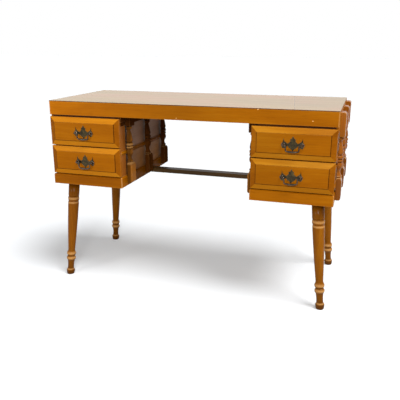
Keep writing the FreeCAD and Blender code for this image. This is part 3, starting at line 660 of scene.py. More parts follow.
# %% Edging and laminate
EDGING = 18 * MM
EDGING_EASE = 1.2 * MM
SHEET_EASE = 0.5 * MM
FASCIA_LIGHT_LEVELS = ((0.0, 1.34), (0.22, 1.12), (0.48, 0.80), (0.72, 0.96), (1.0, 1.02))
NICKS = (
    (0.283, 0.758, 2.5 * MM),
    (0.477, 0.724, 2.0 * MM),
    (-0.026, 0.713, 2.0 * MM),
)


def mitred(name, low, high, inner, draws):
    """A block whose inner face, on one side, is drawn in at its ends.

    inner is the axis and side of that face, and draws gives how far each end of the length moves.
    """
    piece = block(name, low, high)
    axis, side = inner
    length = 1 - axis
    edge = (high if side > 0 else low)[axis]
    middle = (low[length] + high[length]) / 2
    edit(piece)
    for end, draw in zip((-1, 1), draws):
        pick(piece, "verts", lambda v: abs(v.co[axis] - edge) < MM and (v.co[length] - middle) * end > 0)
        offset = Vector((0, 0, 0))
        offset[length] = -end * draw
        bpy.ops.transform.translate(value=offset)
    leave()
    return piece


y_front = extent("front_edging", "y")[0]
fascia_wood = wood(
    "fascia_wood", "x", HONEY_TONES, **HONEY_LACQUER,
    painted_light=(ASIDE, extent("front_edging", "x"), FASCIA_LIGHT_LEVELS),
    nicks=[((x, y_front, z), radius) for x, z, radius in NICKS],
)
for where, inner, finish in (
    ("front", (1, 1), fascia_wood),
    ("rear", (1, -1), honey["x"]),
    ("left", (0, 1), honey["y"]),
    ("right", (0, -1), honey["y"]),
):
    node = f"{where}_edging"
    piece = mitred(f"{where}_edging_board", *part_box(node), inner, (EDGING, EDGING))
    seat(ease(piece, EDGING_EASE), "case", node, WOOD_SLOT, finish)

sheet_low, sheet_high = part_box("top_laminate")
sheet = ease(block("laminate_sheet", sheet_low, sheet_high), SHEET_EASE, segments=2)
for face in sheet.data.polygons:
    face.material_index = 0 if face.normal.z > 0.5 else 1
seat(sheet, "case", "top_laminate", "top_laminate", laminate, laminate_edge)
print("top", [round(x, 4) for x in sheet_high])

# %% [markdown]
# ## Base rails
# A base of four mitred rails goes round the foot of each pedestal. The upper outer edge has a small
# bevel. A modifier would bevel all edges alike, so that one edge is picked and bevelled in edit mode. The
# rails of a pedestal's two sides belong to one solid, so two pieces stand for it. Towards the kneehole
# the finish darkens from the front to the back, as painted shade under the top, and the front and rear
# rails of the left pedestal get a darker honey, as painted shade.

# %% Base rails
BASE_BEVEL = 4 * MM
BASE_FRONT = 14.5 * MM
BASE_EASE = 0.8 * MM
RECESS = 9 * MM
SHADED_HONEY_TONES = ((126, 66, 1), (146, 81, 3), (164, 98, 10))
KNEEHOLE_SHADE_LEVELS = ((0.0, 1.15), (0.14, 0.85), (0.30, 0.50), (1.0, 0.38))


def base_rail(name, low, high, inner, draws):
    """A mitred rail with a bevel along its upper outer edge."""
    piece = mitred(name, low, high, inner, draws)
    axis, side = inner
    outer = (low if side > 0 else high)[axis]
    edit(piece)
    pick(piece, "edges", lambda e: all(
        abs(v.co[axis] - outer) < MM and abs(v.co.z - high.z) < MM for v in e.verts
    ))
    bpy.ops.mesh.bevel(offset=BASE_BEVEL, segments=1)
    leave()
    return ease(piece, BASE_EASE)


shaded_honey = wood("deep_honey_wood", "x", SHADED_HONEY_TONES, **HONEY_LACQUER)
kneehole_wood = wood(
    "kneehole_wood", "y", HONEY_TONES, gloss=0.01, rough=0.34, wear_and_glint=0.6,
    painted_light=(BACK, extent("left_base_side_rails", "y"), KNEEHOLE_SHADE_LEVELS),
)
for side in SIDES:
    for end, facing in (("front", 1), ("rear", -1)):
        node = f"{side}_base_{end}_rail"
        rail = base_rail(f"{node}_board", *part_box(node), (1, facing), (RECESS, RECESS))
        # The left pedestal's front and rear rails get the darker honey, as painted shade.
        seat(rail, "case", node, WOOD_SLOT, honey["x"] if side == "right" else shaded_honey)
    node = f"{side}_base_side_rails"
    low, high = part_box(node)
    for where, near in (("left", True), ("right", False)):
        x_low = low.x if near else high.x - RECESS
        span = (Vector((x_low, low.y, low.z)), Vector((x_low + RECESS, high.y, high.z)))
        rail = base_rail(f"{side}_base_{where}_rail", *span, (0, 1 if near else -1), (BASE_FRONT, RECESS))
        seat(rail, "case", node, WOOD_SLOT, honey["y"] if where == side else kneehole_wood)
print("base rails", len(made))

# %% [markdown]
# ## Drawer fronts
# A drawer front is a board with a wide bevel round a raised field. The block's front face is inset and
# brought forward twice, for the bevel and for a narrow strip beside the field, and then extruded for
# the little step of the field. Inset mitres the corners by itself, which a boolean cut would not. Faces
# get their finish by where they point, as painted light and shade: the upper and lower bevels and the
# steps that face up are paler, and lighter to the left, the bevels at the ends are darker, and dark
# lines of painted shade lie in the strip beside the field, but for its upper side, and in the steps that
# don't face up. The fields of the right drawers are painted darker to their left, as shade.

# %% Drawer fronts
BEVEL_WIDTH = 21 * MM
BEVEL_RISE = 6.5 * MM
FIELD_STEP = 1.5 * MM
SHADE_LINE_WIDTH = 2.2 * MM
STEP_SHADE_LINE = 0.3 * MM
FRONT_EASE = 0.5 * MM
STEP_SLOPE = 0.85
BEVEL_SLOPE = 0.9
FLAT_SLOPE = 0.99
LIT_BEVEL_TONES = ((166, 98, 8), (182, 114, 15), (196, 132, 30))
SHADE_LINE_TONES = ((70, 34, 1), (90, 46, 2), (108, 60, 4))
RIGHT_FIELD_SHADE_LEVELS = ((0.0, 0.80), (0.30, 0.84), (0.70, 0.96), (1.0, 0.96))
LIT_BEVEL_LEVELS = ((0.0, 1.16), (0.25, 1.16), (0.75, 0.92), (1.0, 0.92))
DRAWERS = {f"{side}_{level}": side for side in SIDES for level in ("lower", "upper")}


def front_finish(face, low, high):
    """The finish of a face: 0 on the field and the rim, 1 painted light above and below, 2 painted shade at
    the ends, 3 painted shade lines.
    """
    ahead, up, aside = -face.normal.y, face.normal.z, abs(face.normal.x)
    if ahead < STEP_SLOPE and face.center.y < low.y + FIELD_STEP + STEP_SHADE_LINE:
        return 1 if up > STEP_SLOPE else 3
    if not BEVEL_SLOPE < ahead < FLAT_SLOPE:
        return 0
    place = face.center
    margin = min(place.x - low.x, high.x - place.x, place.z - low.z, high.z - place.z)
    if margin > BEVEL_WIDTH - SHADE_LINE_WIDTH and up <= aside:
        return 3
    return 2 if aside > abs(up) else 1


def drawer_front(name, low, high):
    """A board with a bevelled raised field on its front."""
    piece = block(name, (low.x, low.y + BEVEL_RISE + FIELD_STEP, low.z), high)
    edit(piece)
    pick(piece, "faces", faces_front)
    for width in (BEVEL_WIDTH - SHADE_LINE_WIDTH, SHADE_LINE_WIDTH):
        bpy.ops.mesh.inset(thickness=width, depth=BEVEL_RISE * width / BEVEL_WIDTH)
    bpy.ops.mesh.extrude_region_move(TRANSFORM_OT_translate={"value": (0, -FIELD_STEP, 0)})
    leave()
    ease(piece, FRONT_EASE, angle=12)
    for face in piece.data.polygons:
        face.material_index = front_finish(face, low, high)
    return piece


# Painted shade on the right fields, darker to the left, and painted light on the paler bevels, lighter to
# the left.
right_span = extent("right_upper_drawer_front", "x")
right_field_shade = (ASIDE, right_span, RIGHT_FIELD_SHADE_LEVELS)
bevel_light_fade = (ASIDE, (-right_span[1], right_span[1]), LIT_BEVEL_LEVELS)
right_honey = wood("right_honey_wood", "x", HONEY_TONES, **HONEY_LACQUER, painted_light=right_field_shade)
lit_bevel_honey = wood("pale_honey_wood", "x", LIT_BEVEL_TONES, **HONEY_LACQUER, painted_light=bevel_light_fade)
# Dark lines of painted shade in the strip beside the field and in the steps.
shade_line_honey = wood("shade_line_honey_wood", "x", SHADE_LINE_TONES, gloss=0.02, rough=0.45)
for name, side in DRAWERS.items():
    node = f"{name}_drawer_front"
    board = drawer_front(f"{node}_board", *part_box(node))
    field = honey["x"] if side == "left" else right_honey
    seat(board, f"{name}_drawer", node, WOOD_SLOT, field, lit_bevel_honey, shaded_honey, shade_line_honey)
print("drawer fronts", len(DRAWERS))

# %% [markdown]
# ## Legs
# The legs are turned: a foot, a neck, two beads, a long swelling shaft and a ring between two grooves
# under the head. They lean outwards. Each one is spun upright, tilted about its foot and cut level with
# the floor and with the pedestal, as a turner would do it, so the rings stay square to the leg. The beads
# and the ring carry painted highlights. The legs are toned darker than the honey, and darker still at
# the foot and under the head, as painted shade.

# %% Legs
LEG_TURNING_SHARES = (
    (-0.014, 0.40, 0.10),
    (0.026, 0.70, 0.10),
    (0.058, 0.57),
    (0.066, 0.56, -0.05),
    (0.148, 0.62),
    (0.156, 0.67, 0.14),
    (0.196, 0.67),
    (0.201, 0.60),
    (0.206, 0.67, 0.14),
    (0.250, 0.67, -0.02),
    (0.275, 0.62, 0.04),
    (0.775, 0.96),
    (0.790, 0.93),
    (0.796, 0.85),
    (0.802, 0.92, 0.06),
    (0.843, 0.92),
    (0.849, 0.85),
    (0.855, 0.955),
    (1.030, 0.955),
)
LEG_RADIUS = 24 * MM
FOOT_INSET_SIDE = {"front": 22.5 * MM, "rear": 25 * MM}
FOOT_INSET_FRONT = 27.5 * MM
FOOT_INSET_REAR = 1.5 * MM
SPLAY_SIDE = 36 * MM
SPLAY_DEPTH = 26 * MM
SHADED_LEG_TONES = ((120, 66, 1), (140, 80, 4), (157, 96, 10))
LEG_SHADE_LEVELS = ((0.0, 0.40), (0.12, 0.72), (0.40, 0.98), (0.80, 1.0), (1.0, 0.52))
LEG_HIGHLIGHT_RINGS = (
    (0.046, 0.056, 0.066, 0.40),
    (0.158, 0.182, 0.198, 0.55),
    (0.212, 0.230, 0.252, 0.55),
    (0.768, 0.783, 0.794, 0.55),
    (0.808, 0.824, 0.842, 0.55),
)
leg_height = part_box("left_front_leg")[1].z
leg_wood = wood(
    "leg_wood", "z", SHADED_LEG_TONES, gloss=0.06, rough=0.18, wear_and_glint=0.55,
    painted_light=(UP, (0, leg_height), LEG_SHADE_LEVELS),
    highlight_rings=((0, leg_height), LEG_HIGHLIGHT_RINGS),
)
upright_leg = lathe("leg", turned(LEG_TURNING_SHARES, leg_height, LEG_RADIUS))
for side, way in SIDES.items():
    for end, back in (("front", -1), ("rear", 1)):
        node = f"{side}_{end}_leg"
        x_foot = way * (sheet_high.x - FOOT_INSET_SIDE[end])
        y_foot = sheet_high.y - FOOT_INSET_REAR if back > 0 else sheet_low.y + FOOT_INSET_FRONT
        lean = Vector((-way * SPLAY_SIDE, -back * SPLAY_DEPTH, leg_height))
        tilt = Vector((0, 0, 1)).rotation_difference(lean).to_matrix().to_4x4()
        leg = copy_piece(upright_leg, f"{node}_turning", Matrix.Translation((x_foot, y_foot, 0)) @ tilt)
        cut_level(leg, (0, 0, 0), (0, 0, -1))
        cut_level(leg, (0, 0, leg_height), (0, 0, 1))
        seat(leg, "case", node, WOOD_SLOT, leg_wood)
bpy.data.objects.remove(upright_leg)
print("legs", round(leg_height, 4))

# %% [markdown]
# ## Columns
# Split turnings decorate the sides of the pedestals: a turned half between two square blocks. The outer
# ones pass the top with a rounded head, the inner ones end under it. Makers turn a whole column and saw
# it in two, so a whole turning is spun here too, bisected and joined with its blocks.

# %% Model of a column
COLUMN_TURNING_SHARES = (
    (0.000, 0.90),
    (0.035, 0.78),
    (0.050, 0.92, -0.10),
    (0.170, 0.58, -0.05),
    (0.245, 0.82, 0.12),
    (0.385, 0.82),
    (0.393, 0.72),
    (0.400, 0.88, 0.07),
    (0.455, 0.88),
    (0.465, 0.72),
    (0.475, 0.90, 0.07),
    (0.545, 0.90),
    (0.560, 0.74, 0.08),
    (0.640, 0.90, 0.04),
    (0.880, 0.50),
    (0.915, 0.68, 0.16),
    (0.990, 0.68),
    (1.000, 0.86),
)
SHOULDER_SHARES = (0.88, 0.80)
COLUMN_WIDTH = 44 * MM
COLUMN_DEPTH = 20 * MM
COLUMN_BLOCK = 81.5 * MM
TURNING_LENGTH = 151.5 * MM
BLOCK_ROUNDING = 8 * MM
BLOCK_EASE = 1.5 * MM
QUARTER_BULGE_SHARE = 1 - math.sqrt(0.5)


def column_block(name, outline):
    """A block of a column from its outline in depth and height, eased all round."""
    half = COLUMN_WIDTH / 2
    corners = [(point.x, -half, point.y) for point in traced(outline)]
    return ease(prism(name, corners, (0, COLUMN_WIDTH, 0)), BLOCK_EASE, angle=40)


def model_column(name, z_foot, z_head, rounded_head):
    """A whole column at the origin: lower block, turned half and upper block."""
    z_turning = z_foot + COLUMN_BLOCK
    z_block = z_turning + TURNING_LENGTH
    bulge = BLOCK_ROUNDING * QUARTER_BULGE_SHARE
    rounded = COLUMN_DEPTH - BLOCK_ROUNDING
    up_share, out_share = SHOULDER_SHARES
    lower = column_block(f"{name}_lower", [
        (0, z_foot),
        (rounded, z_foot, bulge),
        (COLUMN_DEPTH, z_foot + BLOCK_ROUNDING),
        (COLUMN_DEPTH, z_foot + COLUMN_BLOCK * up_share),
        (COLUMN_DEPTH * out_share, z_turning),
        (0, z_turning),
    ])
    crown = [(COLUMN_DEPTH, z_head - BLOCK_ROUNDING, bulge), (rounded, z_head)]
    crown = crown if rounded_head else [(COLUMN_DEPTH, z_head)]
    upper = column_block(f"{name}_upper", [(0, z_block), (COLUMN_DEPTH, z_block), *crown, (0, z_head)])
    middle = lathe(name, turned(COLUMN_TURNING_SHARES, TURNING_LENGTH, COLUMN_DEPTH))
    middle.data.transform(Matrix.Translation((0, 0, z_turning)))
    cut_level(middle, (0, 0, 0), (-1, 0, 0))
    return join(middle, lower, upper)


# %% [markdown]
# ## Placing the columns
# Three columns stand on each side of a pedestal. One is modelled at the origin, facing +X, and copied to
# its places, which are read from the solid. The inner ones stand in the shade of the kneehole, and their
# dark finish is painted shade. The first of them is painted light where it stands out from the panel,
# with painted highlights on its rings, up to the block under the top, which keeps the painted shade.
# The outer columns are painted darker towards the bottom, as shade, with painted highlights on their
# edges.


# %% Columns
COLUMN_COUNT = 3
COLUMN_TONES = ((126, 67, 9), (148, 83, 16), (166, 100, 26))
COLUMN_SHADE_LEVELS = ((0.0, 0.70), (0.22, 0.78), (0.35, 1.0), (1.0, 1.0))
SHADED_TONES = ((60, 30, 6), (76, 40, 10), (92, 52, 16))
LIT_KNEE_TONES = ((164, 99, 30), (182, 115, 40), (198, 133, 54))
KNEE_LIGHT_LEVELS = ((0.0, 0.26), (0.62, 0.31), (0.88, 0.64), (1.0, 1.0))
KNEE_HIGHLIGHT_RINGS = (
    (0.270, 0.296, 0.320, 0.40),
    (0.515, 0.533, 0.553, 0.45),
    (0.554, 0.577, 0.600, 0.45),
)


def knee_column_wood(name, x, outwards):
    """The finish of an inner front column: painted shade against the panel, painted light where it stands
    out and painted highlights on its rings.
    """
    return wood(
        name, "z", LIT_KNEE_TONES, gloss=0.01, rough=0.22, wear_and_glint=0.5,
        painted_light=((outwards, 0, 0), (outwards * x, outwards * x + COLUMN_DEPTH), KNEE_LIGHT_LEVELS),
        highlight_rings=(extent("right_inner_columns", "z"), KNEE_HIGHLIGHT_RINGS),
    )


column_wood = wood(
    "column_wood", "z", COLUMN_TONES, gloss=0.10, rough=0.22, wear_and_glint=0.85,
    painted_light=(UP, extent("right_outer_columns", "z"), COLUMN_SHADE_LEVELS),
)
shaded_column_wood = wood("shaded_column_wood", "z", SHADED_TONES, gloss=0.0, rough=0.24, wear_and_glint=0.3)
for where in ("outer", "inner"):
    low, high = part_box(f"right_{where}_columns")
    model = model_column(f"{where}_column", low.z, high.z, where == "outer")
    first = low.y + COLUMN_WIDTH / 2
    pitch = (high.y - low.y - COLUMN_WIDTH) / (COLUMN_COUNT - 1)
    for side, way in SIDES.items():
        node = f"{side}_{where}_columns"
        low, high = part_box(node)
        faces_right = (way > 0) == (where == "outer")
        x = low.x if faces_right else high.x
        facing = Matrix.Rotation(0 if faces_right else math.pi, 4, "Z")
        for number in range(COLUMN_COUNT):
            place = Matrix.Translation((x, first + pitch * number, 0)) @ facing
            column = copy_piece(model, f"{side}_{where}_column_{number + 1}", place)
            finishes = [column_wood if where == "outer" else shaded_column_wood]
            if where == "inner" and number == 0:
                outwards = 1 if faces_right else -1
                finishes.insert(0, knee_column_wood(f"{side}_knee_column_wood", x, outwards))
                # The block under the top keeps the dark finish, as painted shade.
                z_head_block = low.z + COLUMN_BLOCK + TURNING_LENGTH
                for face in column.data.polygons:
                    face.material_index = int(face.center.z > z_head_block)
            seat(column, "case", node, WOOD_SLOT, *finishes)
    bpy.data.objects.remove(model)
print("columns at every", round(pitch, 4))

# %% [markdown]
# ## Mouldings
# Two mouldings run along each side of a pedestal: a cornice under the top and a narrow belt. Each is an
# outline of its depth and height, extruded from the front to the back. A curve with a profile would give
# the same run, but a filled outline has closed ends at once. In the kneehole the cornice is nearly hidden
# under the top, so it is painted dark as shade, and the belt gets the kneehole's painted shade.

# %% Mouldings
TOP_MOULDING_SHARES = (
    (0.0, 0.0),
    (0.45, 0.0, 0.10),
    (0.45, 0.22, -0.12),
    (0.80, 0.42),
    (1.0, 0.42),
    (1.0, 1.0),
    (0.0, 1.0),
)
BELT_SHARES = (
    (0.0, 0.0),
    (0.50, 0.0),
    (0.50, 0.18, 0.42),
    (0.50, 0.82),
    (0.50, 1.0),
    (0.0, 1.0),
)
TOP_MOULDING_HEIGHT = 39 * MM
BELT_HEIGHT = 17 * MM
MOULDING_EASE = 0.5 * MM
PAINTED_SHADE_TONES = ((58, 26, 6), (76, 40, 12), (96, 54, 18))


def moulding(name, shares, x, outwards, z, height, y_low, y_high):
    """A moulding on a panel at x that points to higher or lower x."""
    line = traced(scaled(shares, RECESS, height))
    corners = [(x + outwards * point.x, y_low, z + point.y) for point in line]
    piece = prism(name, corners, (0, y_high - y_low, 0))
    return ease(piece, MOULDING_EASE, segments=2, angle=35)


shaded_moulding_wood = wood("shaded_moulding_wood", "y", PAINTED_SHADE_TONES, gloss=0.0, rough=0.4, wear_and_glint=0.3)
for side in SIDES:
    node = f"{side}_side_mouldings"
    low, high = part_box(node)
    for where, x, outwards in (("left", low.x + RECESS, -1), ("right", high.x - RECESS, 1)):
        z = high.z - TOP_MOULDING_HEIGHT
        cornice = moulding(
            f"{side}_{where}_cornice", TOP_MOULDING_SHARES, x, outwards, z, TOP_MOULDING_HEIGHT,
            low.y, high.y,
        )
        belt = moulding(f"{side}_{where}_belt", BELT_SHARES, x, outwards, low.z, BELT_HEIGHT, low.y, high.y)
        seat(cornice, "case", node, WOOD_SLOT, honey["y"] if where == side else shaded_moulding_wood)
        seat(belt, "case", node, WOOD_SLOT, honey["y"] if where == side else kneehole_wood)
print("mouldings", round(low.z, 4), round(high.z, 4))

# %% [markdown]
# ## Stiles
# Beside the drawers, the front of each inner side is faced with a thin stile. It is only trim on the
# panel, so it stands for no solid: a block on the panel's face with eased edges is enough.

# %% Stiles
STILE_WIDTH = 48 * MM
STILE_THICKNESS = 3 * MM
STILE_EASE = 0.6 * MM
STILE_TONES = ((144, 80, 24), (160, 92, 31), (174, 106, 40))
stile_wood = wood("stile_wood", "z", STILE_TONES, gloss=0.03, rough=0.3, wear_and_glint=0.4)
for side, outwards in (("left", 1), ("right", -1)):
    panel_low, panel_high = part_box(f"{side}_inner_side_panel")
    x = panel_high.x if outwards > 0 else panel_low.x
    z_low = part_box(f"{side}_base_side_rails")[1].z
    z_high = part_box(f"{side}_side_mouldings")[1].z - TOP_MOULDING_HEIGHT
    x_low, x_high = sorted((x, x + outwards * STILE_THICKNESS))
    y_rear = panel_low.y + STILE_WIDTH
    stile = ease(block(f"{side}_stile", (x_low, panel_low.y, z_low), (x_high, y_rear, z_high)), STILE_EASE)
    seat(stile, "case", None, WOOD_SLOT, stile_wood)
print("stiles", round(z_high - z_low, 4))

# %% [markdown]
# ## The stretcher
# A plain flat bar joins the two pedestals behind the knees. Its edges are well rounded by wear, so it is
# eased more widely than the boards and in more steps.

# %% Stretcher
STRETCHER_EASE = 2.5 * MM
STRETCHER_TONES = ((52, 34, 10), (70, 48, 17), (88, 62, 26))
stretcher_wood = wood("stretcher_wood", "x", STRETCHER_TONES, gloss=0.12, rough=0.4, wear_and_glint=0.3)
low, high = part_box("stretcher")
bar = ease(block("stretcher_bar", low, high), STRETCHER_EASE, segments=4)
seat(bar, "case", "stretcher", "dark_wood", stretcher_wood)
print("stretcher", round(high.x - low.x, 4))

# %% [markdown]
# ## Handles
# A handle has a cut-out back plate, two posts with round heads and a bail that swings between them. The
# plate is cast thin, so half of its outline is traced, mirrored, filled and extruded. A bevel would clash
# in its tight corners, so its front is inset and the rim pushed back instead. The posts are small
# turnings with a nut behind the drawer front.

# %% Handle plates and posts
PLATE_OUTLINE_SHARES = (
    (0.00, -0.42, -0.03),
    (0.24, -0.22, 0.03),
    (0.42, -0.07),
    (0.54, -0.08),
    (0.66, -0.19, 0.12),
    (0.93, -0.10, 0.06),
    (0.92, 0.12, -0.03),
    (0.82, 0.44, -0.06),
    (0.63, 0.17),
    (0.44, 0.08, -0.02),
    (0.20, 0.26),
    (0.26, 0.36, -0.02),
    (0.10, 0.42),
    (0.00, 0.57),
)
POST_TURNING_SHARES = (
    (0.00, 1.30),
    (0.10, 1.30, -0.06),
    (0.17, 0.75),
    (0.29, 0.75, 0.27),
    (1.00, 0.30),
    (1.00, 0.00),
)
PLATE_WIDTH = 82 * MM
PLATE_HEIGHT = 55 * MM
PLATE_RIM = 0.9 * MM
POST_PITCH = 67 * MM
POST_HEIGHT = 15 * MM
POST_RADIUS = 6 * MM
SHANK_RADIUS = 2 * MM
NUT_RADIUS = 5.2 * MM
NUT_HEIGHT = 3 * MM
NUT_EASE = 0.3 * MM
TO_FRONT = Matrix.Rotation(math.pi / 2, 4, "X")


def model_plate(name, thickness):
    """The back plate at the origin, with its front to -Y."""
    line = traced(scaled(PLATE_OUTLINE_SHARES, PLATE_WIDTH / 2, PLATE_HEIGHT))
    line.extend(Vector((-point.x, point.y)) for point in line[-2:0:-1])
    piece = prism(name, [(point.x, 0, point.y) for point in line], (0, -thickness, 0))
    edit(piece)
    pick(piece, "faces", faces_front)
    bpy.ops.mesh.inset(thickness=PLATE_RIM, depth=0)
    pick(piece, "verts", lambda v: v.co.y < -thickness / 2 and len(v.link_edges) == 3 and any(
        abs(e.verts[0].co.y - e.verts[1].co.y) > thickness / 2 for e in v.link_edges
    ))
    bpy.ops.transform.translate(value=(0, thickness / 2, 0))
    leave()
    return smooth(piece, angle=20)


def model_posts(name, depth):
    """Two posts with their shanks and nuts, seated on the plane y = 0."""
    line = turned(POST_TURNING_SHARES, POST_HEIGHT, POST_RADIUS)[1:-1]
    shank = [Vector((0, -depth)), Vector((SHANK_RADIUS, -depth)), Vector((SHANK_RADIUS, 0))]
    post = lathe(name, shank + line, steps=28)
    deselect()
    nut_place = (0, 0, NUT_HEIGHT * 1.5 - depth)
    bpy.ops.mesh.primitive_cylinder_add(vertices=6, radius=NUT_RADIUS, depth=NUT_HEIGHT, location=nut_place)
    nut = ease(settle(f"{name}_nut"), NUT_EASE, segments=2)
    parts = [post, nut, copy_piece(post, f"{name}_second"), copy_piece(nut, f"{name}_nut_second")]
    for part, way in zip(parts, (-1, -1, 1, 1)):
        part.data.transform(Matrix.Translation((way * POST_PITCH / 2, 0, 0)) @ TO_FRONT)
    return join(*parts)


plate_low, plate_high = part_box("right_upper_handle_plate")
posts_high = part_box("right_upper_handle_posts")[1]
plate_model = model_plate("plate", plate_high.y - plate_low.y)
posts_model = model_posts("posts", posts_high.y - plate_low.y)
print("plate", [round(x, 4) for x in plate_model.dimensions])

# %% [markdown]
# ## Bails
# The bail is a bent rod that is thicker in the middle of its grip. A circle could be swept along its path
# by hand. A NURBS curve with a round bevel does that with a thickness at each point, and is then made a
# mesh. Plate, posts and bail are modelled once and copied to each hinge that the frame gives.


# %% Handle bails
BAIL_RADIUS = 2.5 * MM
BELLY_SHARE = 1.6
BELLY_BOW = 1.5 * MM
ARM = 24 * MM
DROP = 24 * MM
PIN_TIP = 37.5 * MM
SHOULDER = 4 * MM
CORNER = 8 * MM


def model_bail(name):
    """The bail at the origin, hanging from its pivot line along X."""
    half = [
        (PIN_TIP, 0, 1),
        (ARM + 2 * SHOULDER, 0, 1),
        (ARM + SHOULDER / 2, 0, 1),
        (ARM, -SHOULDER / 2, 1),
        (ARM, -2 * SHOULDER, 0.95),
        (ARM, 1.5 * CORNER - DROP, 0.95),
        (ARM - CORNER / 8, CORNER / 3 - DROP, 1),
        (ARM - CORNER, BELLY_BOW - DROP, 1.15),
        (ARM / 3, -DROP, BELLY_SHARE),
    ]
    route = [(-across, up, thick) for across, up, thick in half] + half[::-1]
    curve = bpy.data.curves.new(name, "CURVE")
    curve.dimensions = "3D"
    curve.bevel_depth = BAIL_RADIUS
    curve.bevel_resolution = 5
    curve.use_fill_caps = True
    spline = curve.splines.new("NURBS")
    spline.points.add(len(route) - 1)
    for point, (across, up, thick) in zip(spline.points, route):
        point.co = (across, 0, up, 1)
        point.radius = thick
    spline.order_u = 3
    spline.use_endpoint_u = True
    spline.resolution_u = 8
    piece = bpy.data.objects.new(name, curve)
    scene.collection.objects.link(piece)
    take(piece)
    bpy.ops.object.convert(target="MESH")
    tidy_shell(piece)
    return smooth(piece, angle=40)


bail_model = model_bail("bail")
hinges = {joint["child"]: Vector(joint["pos_m"]) for joint in frame["joints"] if joint["type"] == "hinge"}
for name in DRAWERS:
    pivot = hinges[f"{name}_bail"]
    for model, y, body, kind, brass in (
        (plate_model, plate_high.y, "drawer", "plate", plate_brass),
        (posts_model, plate_low.y, "drawer", "posts", worn_brass),
        (bail_model, pivot.y, "bail", "bail", worn_brass),
    ):
        piece = copy_piece(model, f"{name}_{kind}", Matrix.Translation((pivot.x, y, pivot.z)))
        seat(piece, f"{name}_{body}", f"{name}_handle_{kind}", METAL_SLOT, brass)
for model in (plate_model, posts_model, bail_model):
    bpy.data.objects.remove(model)
print("handles", len(hinges))

# %% [markdown]
# ## The solids that stay
# Panels, floors, rails, runners, drawer boxes and screws are plain boards and rods, so their solids
# stay as they are and only get a finish with the grain along their length. The inner panels are tinted
# warm below the belt as painted light and cool above it as a painted sheen, and painted dark behind the
# front column as its shadow. The front edge of each side panel, the top rails and the drawer divider are
# painted dark as the shade in the gaps round the drawers.

# %% Finish the remaining solids
PANEL_TONES = ((106, 64, 30), (124, 78, 40), (138, 90, 50))
PANEL_FRONT_BAND = 2 * MM
PANEL_FRONT_SHADE = (0.30, 0.20, 0.15, 1)
INNER_PANEL_TONES = ((114, 80, 56), (130, 94, 68), (144, 106, 78))
INNER_FRONT_BAND = 66 * MM
INNER_FRONT_SHADE = (0.08, 0.06, 0.05, 1)
LIT_WARM_TINT = (1.1, 0.96, 0.6, 1)
SHEEN_COOL_TINT = (1.1, 1.14, 1.25, 1)
INNER_PANEL_LIGHT_LEVELS = ((0.0, LIT_WARM_TINT), (0.46, LIT_WARM_TINT), (0.52, SHEEN_COOL_TINT))
BARE_TONES = ((176, 136, 92), (196, 160, 114), (208, 176, 132))
y_front = extent("left_inner_side_panel", "y")[0]
panel_wood = wood(
    "panel_wood", "y", PANEL_TONES, gloss=0.12, rough=0.36,
    front_shade=(y_front + PANEL_FRONT_BAND, PANEL_FRONT_SHADE),
)
inner_panel_wood = wood(
    "inner_panel_wood", "y", INNER_PANEL_TONES, gloss=0.05, rough=0.4,
    painted_light=(UP, extent("left_inner_side_panel", "z"), INNER_PANEL_LIGHT_LEVELS),
    front_shade=(y_front + INNER_FRONT_BAND, INNER_FRONT_SHADE),
)
# Dark rails behind the drawer gaps, as painted shade.
gap_shade = wood("gap_shade_wood", "x", PAINTED_SHADE_TONES, gloss=0.1, rough=0.45)
bare = {axis: wood(f"bare_wood_{axis}", axis, BARE_TONES, gloss=0.2, rough=0.6) for axis in "xy"}
SOLID_FINISHES = {
    "outer_side_panel": panel_wood,
    "inner_side_panel": inner_panel_wood,
    "back_panel": bare["x"],
    "floor_board": bare["y"],
    "top_rails": gap_shade,
    "drawer_divider": gap_shade,
    "drawer_runners": bare["y"],
    "drawer_box": bare["y"],
    "top_board": bare["x"],
    "top_battens": bare["y"],
    "wood_screws": steel,
    "leg_fixings": steel,
}
stood_for = {node for piece in made for node in piece.get("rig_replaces", ())}
kept = [name for name in frame["nodes"] if name not in stood_for]
for name in kept:
    ending = next(ending for ending in SOLID_FINISHES if name.endswith(ending))
    solid = frame["nodes"][name].data
    solid.materials.clear()
    solid.materials.append(SOLID_FINISHES[ending])
print("pieces", len(made), "solids that stay", len(kept))

# %% [markdown]
# ## Floor
# The desk stands on a white floor that runs into a white background. More light would make the floor
# white too, but would bleach the desk. So the floor adds a little light of its own, for the camera and
# for mirrors only, and keeps a soft grey shadow.

# %% Floor
FLOOR_SIZE = 60
FLOOR_COLOUR = (0.78, 0.8, 0.82, 1)
FLOOR_SHADE = (0.42, 0.42, 0.42, 1)
FLOOR_GLOW = 0.16


def seen_directly(tree):
    """One for rays from the camera, a mirror or glass, and zero for the rest."""
    path = tree.nodes.new("ShaderNodeLightPath")
    total = path.outputs["Is Camera Ray"]
    for name in ("Is Glossy Ray", "Is Transmission Ray"):
        larger = tree.nodes.new("ShaderNodeMath")
        larger.operation = "MAXIMUM"
        tree.links.new(total, larger.inputs[0])
        tree.links.new(path.outputs[name], larger.inputs[1])
        total = larger.outputs["Value"]
    return total


def make_floor():
    """A floor that is white for the camera and darker for the light that it throws back."""
    deselect()
    bpy.ops.mesh.primitive_plane_add(size=FLOOR_SIZE)
    floor = settle("floor")
    finish = Finish("white_floor")
    seen = seen_directly(finish.material.node_tree)
    finish.feed(finish.blend(seen, FLOOR_SHADE, FLOOR_COLOUR), "Base Color")
    finish.feed(finish.spread(seen, 0, FLOOR_GLOW), "Emission Strength")
    finish.set(Roughness=1, Specular_IOR_Level=0, Emission_Color=(1, 1, 1, 1))
    floor.data.materials.append(finish.material)
    floor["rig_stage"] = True


make_floor()
print("floor", FLOOR_SIZE)

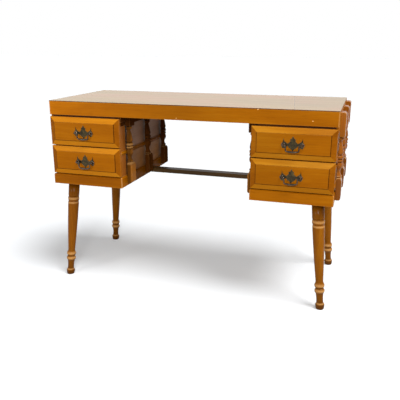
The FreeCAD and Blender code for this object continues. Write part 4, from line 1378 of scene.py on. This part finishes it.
# %% [markdown]
# ## Light
# A wide, soft sun shines from above and a little from the right. A key lamp stands in front to the right,
# a weaker one fills in from the left, and an even sky lightens the shade. Together they are about as
# bright as a plain studio, so that a colour renders about as it is written.


# %% Light
SKY_LEVEL = 0.24
OVERHEAD_FROM = (0.50, -0.20, 1.0)
OVERHEAD_POWER = 3.0
OVERHEAD_ANGLE = math.radians(31)
KEY_PLACE = (1.0, -3.2, 2.0)
KEY_POWER = 60
KEY_SIZE = 1.0
FILL_PLACE = (-1.8, -2.8, 1.2)
FILL_POWER = 20
FILL_SIZE = 0.8
LAMP_TARGET = (0, 0, 0.5)


def make_sky():
    """An even sky, white for the camera and dim for the light that it gives."""
    world = bpy.data.worlds.new("studio")
    scene.world = world
    world.use_nodes = True
    tree = world.node_tree
    sky = tree.nodes["Background"]
    sky.inputs["Color"].default_value = (1, 1, 1, 1)
    level = tree.nodes.new("ShaderNodeMapRange")
    level.inputs["To Min"].default_value = SKY_LEVEL
    level.inputs["To Max"].default_value = 1
    tree.links.new(seen_directly(tree), level.inputs["Value"])
    tree.links.new(level.outputs["Result"], sky.inputs["Strength"])


def make_lamp(name, kind, place, target, power, **settings):
    """A soft lamp that points at a target."""
    data = bpy.data.lights.new(name, kind)
    data.energy = power
    for setting, value in settings.items():
        setattr(data, setting, value)
    lamp = bpy.data.objects.new(name, data)
    scene.collection.objects.link(lamp)
    lamp.location = place
    lamp.rotation_euler = (Vector(target) - Vector(place)).to_track_quat("-Z", "Y").to_euler()


make_sky()
make_lamp("overhead", "SUN", OVERHEAD_FROM, (0, 0, 0), OVERHEAD_POWER, angle=OVERHEAD_ANGLE)
make_lamp("key", "AREA", KEY_PLACE, LAMP_TARGET, KEY_POWER, size=KEY_SIZE)
make_lamp("fill", "AREA", FILL_PLACE, LAMP_TARGET, FILL_POWER, size=FILL_SIZE)
print("lamps", len(bpy.data.lights))

# %% [markdown]
# ## Sizes
# The dressed desk has to fill the same box as its solids. The last line prints the size of the box round
# all shown pieces.

# %% The size of the dressed desk
low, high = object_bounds()
print("size", [round(x, 4) for x in high - low])
